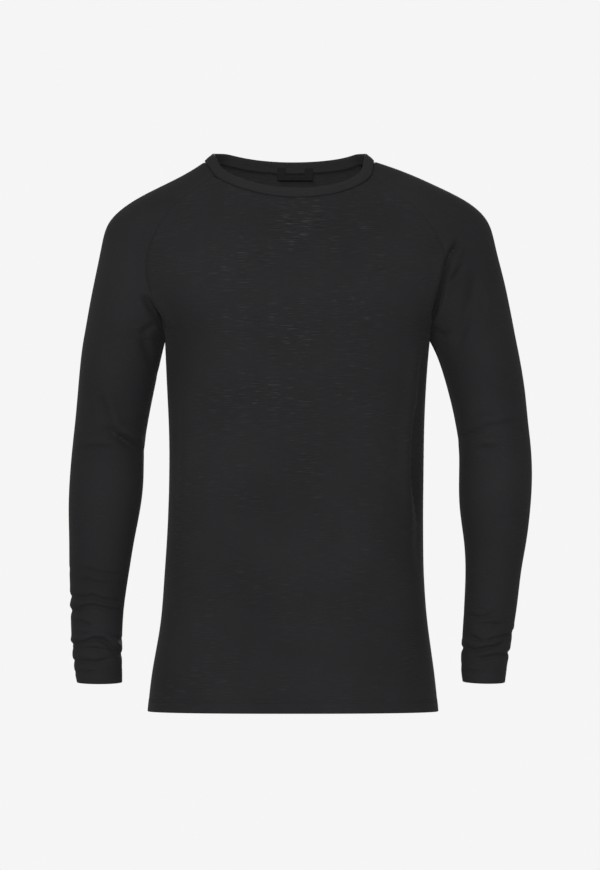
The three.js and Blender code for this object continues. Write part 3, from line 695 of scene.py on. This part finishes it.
def turnEdge(name):
    # the cloth goes round the edge and up inside
    panel = panels[name]
    points, normals = panel["points"], panel["normals"]
    isBody = panel["closedFrom"] is None
    heights = hemHeights if isBody else cuffHeights
    turn = grids["hemTurn"] if isBody else grids["cuffTurn"]
    radius = cloth["turnRadius"]
    edge, normal = points[-1], normals[-1]
    tangent = points[-1] - points[-3]
    tangent = unit(tangent - (tangent * normal).sum(-1, keepdims=True) * normal)
    extraPoints, extraNormals = [], []
    for angle in np.linspace(0, math.pi, grids["turnSteps"] + 1)[1:]:
        downward = tangent * radius * math.sin(angle)
        inward = normal * radius * (1 - math.cos(angle))
        extraPoints.append(edge + downward - inward)
        extraNormals.append(normal * math.cos(angle) + tangent * math.sin(angle))
    count = int((heights <= turn).sum())
    for back in range(2, count + 1):
        extraPoints.append(points[-back] - normals[-back] * 2 * radius)
        extraNormals.append(-normals[-back])
    added = len(extraPoints)
    panel["outerRows"] = len(points)
    panel["points"] = np.concatenate([points, extraPoints])
    panel["normals"] = np.concatenate([normals, extraNormals])
    panel["across"] = np.concatenate([panel["across"], np.repeat(panel["across"][-1:], added, axis=0)])
    panel["totals"] = np.concatenate([panel["totals"], np.repeat(panel["totals"][-1:], added)])


for panelName in panels:
    turnEdge(panelName)
print("panels pressed and edges turned")


# meshes

def makeMesh(name, points, faces, uvs=None, reverse=None):
    # reverse marks the points on the wrong side of the cloth, which the jersey paints paler as painted
    # light
    mesh = bpy.data.meshes.new(name)
    mesh.from_pydata((np.asarray(points) * mm).tolist(), [], faces)
    mesh.validate()
    if uvs is not None:
        layer = mesh.uv_layers.new(name="cloth")
        loops = np.empty(len(mesh.loops), dtype=np.int32)
        mesh.loops.foreach_get("vertex_index", loops)
        layer.data.foreach_set("uv", np.asarray(uvs)[loops].astype(np.float32).ravel())
    if reverse is not None:
        side = mesh.attributes.new("reverse", "FLOAT", "POINT")
        side.data.foreach_set("value", np.asarray(reverse, dtype=np.float32))
    mesh.polygons.foreach_set("use_smooth", [True] * len(mesh.polygons))
    piece = bpy.data.objects.new(name, mesh)
    bpy.context.scene.collection.objects.link(piece)
    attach(piece, "root")
    return piece


def shellMesh(name, points, normals, closedFrom, wall, uvs):
    # a grid given its wall, inwards from the outer face, and closed round its open edges
    rows, columns = points.shape[:2]
    at = np.arange(rows * columns).reshape(rows, columns)
    if closedFrom is not None:
        at[closedFrom:, -1] = at[closedFrom:, 0]
    quads = np.stack([at[:-1, :-1], at[1:, :-1], at[1:, 1:], at[:-1, 1:]], axis=-1).reshape(-1, 4)
    count = rows * columns
    inner = quads[:, ::-1] + count
    openRows = rows - 1 if closedFrom is None else closedFrom
    runs = [(at[0, 1:], at[0, :-1]), (at[-1, :-1], at[-1, 1:]),
            (at[:openRows, 0], at[1:openRows + 1, 0]),
            (at[1:openRows + 1, -1], at[:openRows, -1])]
    rims = [np.stack([end, start, start + count, end + count], axis=-1) for start, end in runs]
    allPoints = np.concatenate([points.reshape(-1, 3), (points - normals * wall).reshape(-1, 3)])
    faces = np.concatenate([quads, inner, *rims])
    flatUvs = np.concatenate([uvs.reshape(-1, 2)] * 2)
    used = np.unique(faces)
    remap = np.full(len(allPoints), -1)
    remap[used] = np.arange(len(used))
    # the inner face is marked for the paler colour of painted light on the inside
    return makeMesh(name, allPoints[used], remap[faces].tolist(), flatUvs[used], used >= count)


def panelUvs(panel, isBody):
    # cloth coordinates in metres: across the wales and down them
    points = panel["points"]
    u = panel["across"] - panel["totals"][:, None] / 2
    if isBody:
        v = points[..., 2]
    else:
        middle = points[:, points.shape[1] // 2]
        run = np.concatenate([[0], np.cumsum(np.linalg.norm(np.diff(middle, axis=0), axis=-1))])
        v = -np.repeat(run[:, None], points.shape[1], axis=1)
    return np.stack([u, v], axis=-1) * mm


pieces = {}
for panelName, panel in panels.items():
    pieces[panelName] = shellMesh(panelName + "_cloth", panel["points"], panel["normals"],
                                  panel["closedFrom"], cloth["wall"],
                                  panelUvs(panel, panel["closedFrom"] is None))
print("panels made")

# neckband: a strip folded double, standing on the neck edges of the four panels

band = {
    "height": 13,
    "bulge": 1.0,
    "wall": 2.3,
    # how far it leans inward, by the way it faces: 0 is the front, -90 the wearer's right
    "lean": [(-180, 18), (-135, 28), (-110, 36), (-85, 46), (-60, 51), (-30, 50), (0, 44),
             (35, 49), (70, 47), (85, 45), (110, 36), (135, 28), (180, 18)],
    "turnReach": 7,              # millimetres over which its direction is evened out
    "ease": 11,                  # and its folded edge, which cuts the corners of the neck edge
    "easeBias": 0.7,
    "dip": (0.9, 80, 16),        # it sits lower over the shoulders: depth, direction and reach in degrees
    # rows of its outer face in height and distance out, from the turn at the foot
    "foot": [(-0.8, -1.8), (-0.6, -1.6), (-0.45, -0.9), (-0.15, 0.2), (0.45, 0.8)],
    "outerRows": (1.4, 3, 4.8, 6.6, 8.4, 10.2),
    "bulgeBias": 0.7,
    "fold": (1.25, 1.2, -0.75),  # the soft fold's height, half its thickness, and its middle
    "foldAngles": (0.25, math.pi - 0.15, 11),
    "innerRows": (9.5, 7, 4.5, 2.4, 0.8),
    "innerBulge": 0.35,
    "innerEnd": (-0.4, -2.35),
    "reverse": 0.45,             # how much its inside takes of the painted light on the inside, a paler colour for light reaching into the neck
    "paintedInsideFrom": -1.9,
}

neckEdge = np.concatenate([panels[name]["neckLine"][:-1]
                           for name in ("front", "sleeve_left", "back", "sleeve_right")])


def smoothAround(values, widths, reach):
    # weighted mean of a closed run of values over a distance either way
    count = len(values)
    run = np.cumsum(widths)
    total = run[-1]
    out = np.empty_like(values)
    for i in range(count):
        gap = np.abs(run - run[i])
        gap = np.minimum(gap, total - gap)
        weight = np.exp(-(gap / reach) ** 2) * widths
        out[i] = (values * weight[:, None]).sum(0) / weight.sum()
    return out


stepAround = np.linalg.norm(np.roll(neckEdge, -1, axis=0) - neckEdge, axis=1)
alongEdge = np.roll(neckEdge, -1, axis=0) - np.roll(neckEdge, 1, axis=0)
acrossEdge = unit(np.stack([alongEdge[:, 1], -alongEdge[:, 0], 0 * alongEdge[:, 0]], axis=-1))
outDirection = unit(smoothAround(acrossEdge, stepAround, band["turnReach"]))
compass = np.degrees(np.arctan2(outDirection[:, 0], -outDirection[:, 1]))
lean = np.radians(np.interp(compass, *zip(*band["lean"])))

# the strip's right side as height up the band and distance out of its middle: up the outer face,
# over the soft fold at the top and down inside
foldRise, foldHalf, foldMiddle = band["fold"]
strip = list(band["foot"])
for h in band["outerRows"]:
    strip.append((h, band["bulge"] * math.sin(math.pi * (h / band["height"]) ** band["bulgeBias"])))
for a in np.linspace(*band["foldAngles"]):
    strip.append((band["height"] - foldRise + foldRise * math.sin(a), foldMiddle + foldHalf * math.cos(a)))
for h in band["innerRows"]:
    strip.append((h, -band["wall"] + band["innerBulge"] * math.sin(math.pi * h / band["height"])))
strip = np.array(strip + [band["innerEnd"]])
stripRun = np.concatenate([[0], np.cumsum(np.linalg.norm(np.diff(strip, axis=0), axis=1))])
tangent = unit(np.gradient(strip, axis=0))
lining = strip + cloth["wall"] * np.stack([-tangent[:, 1], tangent[:, 0]], axis=-1)
profile = np.concatenate([strip, lining[::-1]])
easedEdge = smoothAround(neckEdge, stepAround, band["ease"])
dipDepth, dipAt, dipReach = band["dip"]
dip = dipDepth * np.exp(-((np.abs(compass) - dipAt) / dipReach) ** 2)
bandPoints = []
for height, outward in profile:
    upShare = float(np.clip(height / band["height"], 0, 1))
    up = height * np.cos(lean) + outward * np.sin(lean) - dip * upShare
    away = outward * np.cos(lean) - height * np.sin(lean)
    foot = neckEdge + (easedEdge - neckEdge) * upShare ** band["easeBias"]
    bandPoints.append(foot + outDirection * away[:, None] + np.array([0, 0, 1]) * up[:, None])
bandPoints = np.array(bandPoints)


def ringMesh(name, rings, uvs, reverse):
    # rings of points joined into a closed tube, each ring closed on itself too
    count, around = rings.shape[:2]
    at = np.arange(count * around).reshape(count, around)
    nextRing, nextSpot = np.roll(at, -1, axis=0), np.roll(at, -1, axis=1)
    both = np.roll(nextRing, -1, axis=1)
    faces = np.stack([at, nextSpot, both, nextRing], axis=-1).reshape(-1, 4)
    return makeMesh(name, rings.reshape(-1, 3), faces.tolist(), uvs, reverse)


bandRun = np.cumsum(stepAround)
profileRun = np.concatenate([stripRun, stripRun[::-1]])
bandUvs = np.stack(np.broadcast_arrays(bandRun[None, :], profileRun[:, None]), axis=-1).reshape(-1, 2) * mm
# the band's inside face takes part of the painted light of the paler inside
inside = np.where(profile[:, 1] < band["paintedInsideFrom"], band["reverse"], 0)
pieces["neckband"] = ringMesh("neckband_cloth", bandPoints, bandUvs, np.repeat(inside, len(neckEdge)))

# hanger loop: narrow woven tape hung in a U inside the back of the neck

loop = {
    "width": 10.5,
    "wall": 1.0,
    "bar": 5.8,
    "span": 45,
    "drop": 16,
    "top": 1,
    "centreX": -1.25,
    "setIn": 57.95,              # how far behind the middle its back lies
    "curve": 0.0022,             # it follows the round of the neck
    "slant": 0.28,               # and leans back to the cloth as it hangs
    "edgeThin": (0.18, 0.9),     # its woven edges are thinner by this much over this reach
    "legGrid": (9, 10),          # spots across a leg and down it
    "barGrid": (21, 7),          # spots along the bar and down it
}


def loopTape():
    # columns across the span, each a closed section of the tape; legs at the ends, bar between
    halfSpan, inside = loop["span"] / 2, loop["span"] / 2 - loop["width"]
    barTop = loop["bar"] - loop["drop"]
    (acrossLeg, downLeg), (alongBar, downBar) = loop["legGrid"], loop["barGrid"]
    xs = np.unique(np.concatenate([np.linspace(-halfSpan, -inside, acrossLeg),
                                   np.linspace(-inside, inside, alongBar),
                                   np.linspace(inside, halfSpan, acrossLeg)]))
    zs = np.unique(np.concatenate([np.linspace(-loop["drop"], barTop, downBar),
                                   np.linspace(barTop, 0, downLeg)]))
    points, index, faces = [], {}, []

    def spot(i, k, layer):
        key = (i, k, layer)
        if key not in index:
            x, z = xs[i] + loop["centreX"], zs[k]
            edge = min(halfSpan - abs(xs[i]), zs[k] + loop["drop"])
            if zs[k] > barTop:
                edge = min(edge, abs(xs[i]) - inside)
            thin = loop["edgeThin"][0] * (1 - float(smooth(edge / loop["edgeThin"][1])))
            bent = loop["setIn"] - loop["curve"] * (x - body["neckCentreX"]["back"]) ** 2
            bent += loop["slant"] * max(0, -z)
            y = bent - thin if layer else bent - loop["wall"] + thin
            index[key] = len(points)
            points.append((x, y, z + loop["top"]))
        return index[key]

    def isTape(i, k):
        if not (0 <= i < len(xs) - 1 and 0 <= k < len(zs) - 1):
            return False
        x, z = (xs[i] + xs[i + 1]) / 2, (zs[k] + zs[k + 1]) / 2
        return z < barTop or abs(x) > inside

    for i in range(len(xs) - 1):
        for k in range(len(zs) - 1):
            if not isTape(i, k):
                continue
            faces.append([spot(i, k, 0), spot(i + 1, k, 0), spot(i + 1, k + 1, 0), spot(i, k + 1, 0)])
            faces.append([spot(i, k, 1), spot(i, k + 1, 1), spot(i + 1, k + 1, 1), spot(i + 1, k, 1)])
            for di, dk, a, b in ((-1, 0, (i, k + 1), (i, k)), (1, 0, (i + 1, k), (i + 1, k + 1)),
                                 (0, -1, (i, k), (i + 1, k)), (0, 1, (i + 1, k + 1), (i, k + 1))):
                if not isTape(i + di, k + dk):
                    faces.append([spot(*b, 0), spot(*a, 0), spot(*a, 1), spot(*b, 1)])
    uvs = [(p[0] * mm, p[2] * mm) for p in points]
    return makeMesh("hanger_loop_tape", points, faces, uvs)


pieces["hanger_loop"] = loopTape()

# stitches: twin-needle rows at the hem and cuffs

thread = {
    "length": 2.3,
    "gap": 0.5,
    "radius": 0.24,
    "bow": 0.16,
    "sides": 6,
    # place along the stitch and share of the radius there
    "rings": ((0, 0.25), (0.08, 0.75), (0.3, 1), (0.7, 1), (0.92, 0.75), (1, 0.25)),
}


def stitchRow(line, normals):
    run = np.concatenate([[0], np.cumsum(np.linalg.norm(np.diff(line, axis=0), axis=1))])
    pitch = thread["length"] + thread["gap"]
    count = int(run[-1] // pitch)
    starts = (run[-1] - count * pitch) / 2 + pitch * np.arange(count) + thread["gap"] / 2
    rings = []
    for share, width in thread["rings"]:
        spots = starts + share * thread["length"]
        centre = np.stack([np.interp(spots, run, line[:, k]) for k in range(3)], axis=-1)
        normal = unit(np.stack([np.interp(spots, run, normals[:, k]) for k in range(3)], axis=-1))
        bow = thread["bow"] * math.sin(math.pi * share)
        rings.append((centre + normal * bow, normal, width * thread["radius"]))
    along = unit(rings[-1][0] - rings[0][0])
    angles = np.arange(thread["sides"]) * 2 * math.pi / thread["sides"]
    allRings = []
    for centre, normal, radius in rings:
        sideways = unit(np.cross(along, normal))
        allRings.append(np.stack([centre + radius * (math.cos(a) * normal + math.sin(a) * sideways)
                                  for a in angles], axis=1))
    return np.stack(allRings, axis=1)       # stitches, rings, points round each, xyz


def stitchMesh(name, rows):
    sides, ringCount = thread["sides"], len(thread["rings"])
    lastRing = (ringCount - 1) * sides
    oneStitch = [list(range(sides))[::-1], list(range(lastRing, lastRing + sides))]
    for ring in range(0, lastRing, sides):
        for k in range(sides):
            after = (k + 1) % sides
            oneStitch.append([ring + k, ring + after, ring + sides + after, ring + sides + k])
    stitches = np.concatenate(rows)
    bases = range(0, len(stitches) * ringCount * sides, ringCount * sides)
    faces = [[base + v for v in face] for base in bases for face in oneStitch]
    return makeMesh(name, stitches.reshape(-1, 3), faces)


stitchPieces = {}
for panelName, panel in panels.items():
    isBody = panel["closedFrom"] is None
    heights = hemHeights if isBody else cuffHeights
    rows = []
    for stitch in (grids["hemStitches"] if isBody else grids["cuffStitches"]):
        row = panel["outerRows"] - len(heights) + int(np.argmin(np.abs(heights - stitch)))
        rows.append(stitchRow(panel["points"][row], panel["normals"][row]))
    stitchPieces[panelName] = stitchMesh(panelName + "_stitches", rows)
print("neckband, loop and stitches made")


# materials

def hexColour(code):
    # sRGB hex to linear
    channels = [int(code[i:i + 2], 16) / 255 for i in (0, 2, 4)]
    linear = [c / 12.92 if c <= 0.04045 else ((c + 0.055) / 1.055) ** 2.4 for c in channels]
    return (*linear, 1)


def addNode(tree, kind, settings=None, links=None):
    # settings go to a socket where there is one of that name, and else to the node itself
    node = tree.nodes.new(kind)
    for name, value in (settings or {}).items():
        if isinstance(name, int) or name in node.inputs.keys():
            node.inputs[name].default_value = value
        else:
            setattr(node, name, value)
    for name, source in (links or {}).items():
        tree.links.new(source, node.inputs[name])
    return node


jersey = {
    "wale": 0.0016,        # real wales are 0.65 mm apart, drawn coarser so that they show
    "course": 0.0013,
    "slubLength": 0.019,
    "slubHeight": 0.0012,
    # the slubs crowd round a place on the chest: its offset, and how fast they thin out from there
    "chestOffset": (-0.03, 0.0, 0.66),
    "chestScale": (12.5, 0.0, 4.2),
    # times a metre: patches of slubs, single fibres, and clouds in the dye
    "patches": 16.0,
    "fibres": 900.0,
    "clouds": 9.0,
    # relief in metres
    "loopDepth": 0.0005,
    "slubDepth": 0.0012,
    "fuzzDepth": 0.0006,
    # painted light: the cloth's inside is drawn in this paler colour so that the inside of the neck looks
    # lit
    "reverse": "2e2e30",
    # painted shade: the dark streaks beside the slubs, for the shade under the raised yarn
    "slubShade": "09090a",
    # the slubs' paler tone: partly yarn that takes the dye less, partly painted highlight on their lit
    # tops
    "thickYarnAndHighlight": "4c4c4f",
}


def jerseyMaterial(name, base, pale, slub):
    # Worsted merino single jersey, piece-dyed charcoal: matt, a short soft fuzz that catches light at
    # grazing angles, and uneven yarn that shows as short level streaks, paler partly from the dye and
    # partly as painted highlight, with painted shade in dark streaks beside them.
    material = bpy.data.materials.new(name)
    material.use_nodes = True
    tree = material.node_tree
    tree.nodes.clear()
    clothUv = addNode(tree, "ShaderNodeUVMap", {"uv_map": "cloth"})
    place = addNode(tree, "ShaderNodeTexCoord")

    # knit loops: wales across, courses down, broken up a little by noise
    waleMap = addNode(tree, "ShaderNodeMapping",
                      {"Scale": (1 / jersey["wale"], 1 / jersey["course"], 1)},
                      {"Vector": clothUv.outputs["UV"]})
    knit = addNode(tree, "ShaderNodeTexVoronoi",
                   {"voronoi_dimensions": "2D", "Scale": 1.0, "Randomness": 0.55},
                   {"Vector": waleMap.outputs["Vector"]})
    # slubs: level streaks of thick yarn, and dark streaks beside them that are painted shade for the
    # undersides of the raised slubs
    slubMap = addNode(tree, "ShaderNodeMapping",
                      {"Scale": (1 / jersey["slubLength"], 1 / jersey["slubHeight"], 1)},
                      {"Vector": clothUv.outputs["UV"]})
    slubs = addNode(tree, "ShaderNodeTexNoise", {"noise_dimensions": "2D", "Scale": 1.0, "Detail": 1.5,
                                                 "Roughness": 0.5, "Distortion": 0.2},
                    {"Vector": slubMap.outputs["Vector"]})
    thick = addNode(tree, "ShaderNodeMapRange", {"From Min": 0.6, "From Max": 0.68},
                    {"Value": slubs.outputs["Fac"]})
    # the dark streaks of painted shade beside the slubs
    thin = addNode(tree, "ShaderNodeMapRange", {"From Min": 0.4, "From Max": 0.33},
                   {"Value": slubs.outputs["Fac"]})
    # they gather in patches, most of all down the middle of the chest
    patches = addNode(tree, "ShaderNodeTexNoise", {"Scale": jersey["patches"], "Detail": 2.0},
                      {"Vector": place.outputs["Object"]})
    patchRange = addNode(tree, "ShaderNodeMapRange",
                         {"From Min": 0.4, "From Max": 0.65, "To Min": 0.15, "To Max": 1.0},
                         {"Value": patches.outputs["Fac"]})
    chestMap = addNode(tree, "ShaderNodeMapping",
                       {"Location": jersey["chestOffset"], "Scale": jersey["chestScale"]},
                       {"Vector": place.outputs["Object"]})
    chestDistance = addNode(tree, "ShaderNodeVectorMath", {"operation": "LENGTH"},
                            {0: chestMap.outputs["Vector"]})
    chest = addNode(tree, "ShaderNodeMapRange",
                    {"From Min": 0.2, "From Max": 1.6, "To Min": 1.0, "To Max": 0.22},
                    {"Value": chestDistance.outputs["Value"]})
    gathered = addNode(tree, "ShaderNodeMath", {"operation": "MULTIPLY"},
                       {0: patchRange.outputs["Result"], 1: chest.outputs["Result"]})
    slubAmount = addNode(tree, "ShaderNodeMath", {"operation": "MULTIPLY"},
                         {0: thick.outputs["Result"], 1: gathered.outputs["Value"]})
    slubShadeAmount = addNode(tree, "ShaderNodeMath", {"operation": "MULTIPLY"},
                         {0: thin.outputs["Result"], 1: gathered.outputs["Value"]})

    # colour: even dye and a paler fibre here and there; slubs paler, partly as yarn that takes the dye
    # less and partly as painted highlight on their lit tops; painted shade in the dark streaks beside them
    mottle = addNode(tree, "ShaderNodeTexNoise",
                     {"Scale": jersey["fibres"], "Detail": 3.0, "Roughness": 0.65},
                     {"Vector": place.outputs["Object"]})
    clouds = addNode(tree, "ShaderNodeTexNoise", {"Scale": jersey["clouds"], "Detail": 3.0},
                     {"Vector": place.outputs["Object"]})
    mixed = addNode(tree, "ShaderNodeMath", {"operation": "ADD"},
                    {0: mottle.outputs["Fac"], 1: clouds.outputs["Fac"]})
    dye = addNode(tree, "ShaderNodeMapRange", {"From Min": 0.7, "From Max": 1.3},
                  {"Value": mixed.outputs["Value"]})
    ground = addNode(tree, "ShaderNodeMix", {"data_type": "RGBA"}, {"Factor": dye.outputs["Result"]})
    ground.inputs[6].default_value = hexColour(base)
    ground.inputs[7].default_value = hexColour(pale)
    # the inside of the cloth is painted paler: a little for the purl loops of the jersey's reverse, the
    # rest painted light that stands in for light reaching into the neck
    reverse = addNode(tree, "ShaderNodeAttribute", {"attribute_name": "reverse"})
    insidePaintedLight = addNode(tree, "ShaderNodeMix", {"data_type": "RGBA"}, {"Factor": reverse.outputs["Fac"]})
    tree.links.new(ground.outputs[2], insidePaintedLight.inputs[6])
    insidePaintedLight.inputs[7].default_value = hexColour(jersey["reverse"])
    # painted shade beside the slubs darkens the colour
    slubShadeTone = addNode(tree, "ShaderNodeMath", {"operation": "MULTIPLY", 1: slub},
                       {0: slubShadeAmount.outputs["Value"]})
    slubShaded = addNode(tree, "ShaderNodeMix", {"data_type": "RGBA"}, {"Factor": slubShadeTone.outputs["Value"]})
    tree.links.new(insidePaintedLight.outputs[2], slubShaded.inputs[6])
    slubShaded.inputs[7].default_value = hexColour(jersey["slubShade"])
    # the slubs made paler, partly by the dye and partly as painted highlight
    slubToneAndHighlight = addNode(tree, "ShaderNodeMath", {"operation": "MULTIPLY", 1: slub},
                       {0: slubAmount.outputs["Value"]})
    colour = addNode(tree, "ShaderNodeMix", {"data_type": "RGBA"}, {"Factor": slubToneAndHighlight.outputs["Value"]})
    tree.links.new(slubShaded.outputs[2], colour.inputs[6])
    colour.inputs[7].default_value = hexColour(jersey["thickYarnAndHighlight"])

    # relief: loops, slubs and a soft fuzz
    loops = addNode(tree, "ShaderNodeBump", {"Strength": 0.35, "Distance": jersey["loopDepth"]},
                    {"Height": knit.outputs["Distance"]})
    raised = addNode(tree, "ShaderNodeBump", {"Strength": 0.9, "Distance": jersey["slubDepth"]},
                     {"Height": slubAmount.outputs["Value"], "Normal": loops.outputs["Normal"]})
    fuzz = addNode(tree, "ShaderNodeBump", {"Strength": 0.25, "Distance": jersey["fuzzDepth"]},
                   {"Height": mottle.outputs["Fac"], "Normal": raised.outputs["Normal"]})
    shader = addNode(tree, "ShaderNodeBsdfPrincipled",
                     {"Roughness": 0.92, "IOR": 1.45, "Specular IOR Level": 0.3, "Sheen Weight": 0.08,
                      "Sheen Roughness": 0.45, "Sheen Tint": hexColour("9a9a9e")},
                     {"Base Color": colour.outputs[2], "Normal": fuzz.outputs["Normal"]})
    output = addNode(tree, "ShaderNodeOutputMaterial")
    tree.links.new(shader.outputs["BSDF"], output.inputs["Surface"])
    return material


bodyJersey = jerseyMaterial("charcoal merino jersey body", "1b1b1d", "232325", 0.55)
sleeveJersey = jerseyMaterial("charcoal merino jersey sleeves", "1b1b1d", "232325", 0.3)
bandJersey = jerseyMaterial("charcoal merino jersey doubled", "1e1e20", "262628", 0.2)
tapeCloth = jerseyMaterial("dark woven tape", "19191b", "202022", 0.1)
threadCloth = jerseyMaterial("charcoal polyester thread", "1d1d1f", "27272a", 0.0)

finishes = {
    "front": (bodyJersey, "body_knit"), "back": (bodyJersey, "body_knit"),
    "sleeve_left": (sleeveJersey, "sleeve_knit"), "sleeve_right": (sleeveJersey, "sleeve_knit"),
    "neckband": (bandJersey, "neckband_knit"), "hanger_loop": (tapeCloth, "loop_tape"),
}
for node, (material, slotName) in finishes.items():
    pieces[node].data.materials.append(material)
    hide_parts(node)
for panelName, piece in stitchPieces.items():
    piece.data.materials.append(threadCloth)
print("materials made")

# stage, light and camera

studio = {
    "floorZ": -1.45,
    "floorRadius": 4,
    "floorSides": 96,
    "floorColour": "c8c8c8",
    "background": "f5f5f5",
    "ambient": 0.34,      # what the room gives beside the lamps
    "target": (0, 0, -0.35),
    # each lamp's place, width across and power in watts
    "lamps": {
        "key": ((-1.2, -3.0, 1.5), 1.1, 31),
        "front": ((0.1, -4.6, 0.5), 0.8, 100),
        "behind": ((0.5, 4.4, 1.0), 1.2, 120),
    },
}


def plainFloor():
    mesh = bpy.data.meshes.new("studio_floor")
    radius, sides = studio["floorRadius"], studio["floorSides"]
    around = np.arange(sides) * 2 * math.pi / sides
    points = [(radius * math.cos(a), radius * math.sin(a), studio["floorZ"]) for a in around]
    mesh.from_pydata(points, [], [list(range(sides))])
    floor = bpy.data.objects.new("studio_floor", mesh)
    bpy.context.scene.collection.objects.link(floor)
    material = bpy.data.materials.new("pale studio floor")
    material.use_nodes = True
    shader = material.node_tree.nodes["Principled BSDF"]
    shader.inputs["Base Color"].default_value = hexColour(studio["floorColour"])
    shader.inputs["Roughness"].default_value = 0.9
    mesh.materials.append(material)


def softLight(name, place, size, power):
    lamp = bpy.data.lights.new(name, "AREA")
    lamp.shape = "DISK"
    lamp.size = size
    lamp.energy = power
    light = bpy.data.objects.new(name, lamp)
    light.location = place
    away = np.array(place) - np.array(studio["target"])
    light.rotation_euler = (math.atan2(math.hypot(away[0], away[1]), away[2]), 0,
                            math.atan2(away[0], -away[1]))
    bpy.context.scene.collection.objects.link(light)


plainFloor()
world = bpy.data.worlds.new("studio")
world.use_nodes = True
room = world.node_tree
backdrop = room.nodes["Background"]
backdrop.inputs["Color"].default_value = hexColour(studio["background"])
glow = addNode(room, "ShaderNodeBackground", {"Color": hexColour(studio["background"]),
                                              "Strength": studio["ambient"]})
seen = addNode(room, "ShaderNodeLightPath")
both = addNode(room, "ShaderNodeMixShader", {}, {0: seen.outputs["Is Camera Ray"],
                                                 1: glow.outputs[0], 2: backdrop.outputs[0]})
room.links.new(both.outputs[0], room.nodes["World Output"].inputs["Surface"])
bpy.context.scene.world = world
for name, (place, size, power) in studio["lamps"].items():
    softLight(name, place, size, power)
bpy.context.scene.view_settings.view_transform = "Standard"

view = {"place": (0.005, -4.2, -0.3375), "turn": (math.pi / 2, 0, 0), "lens": 139.03, "sensor": 36}

camera = bpy.data.objects.new("camera", bpy.data.cameras.new("camera"))
camera.data.lens = view["lens"]
camera.data.sensor_width = view["sensor"]
camera.data.dof.use_dof = False
camera.location = view["place"]
camera.rotation_euler = view["turn"]
bpy.context.scene.collection.objects.link(camera)
bpy.context.scene.camera = camera

print("done")
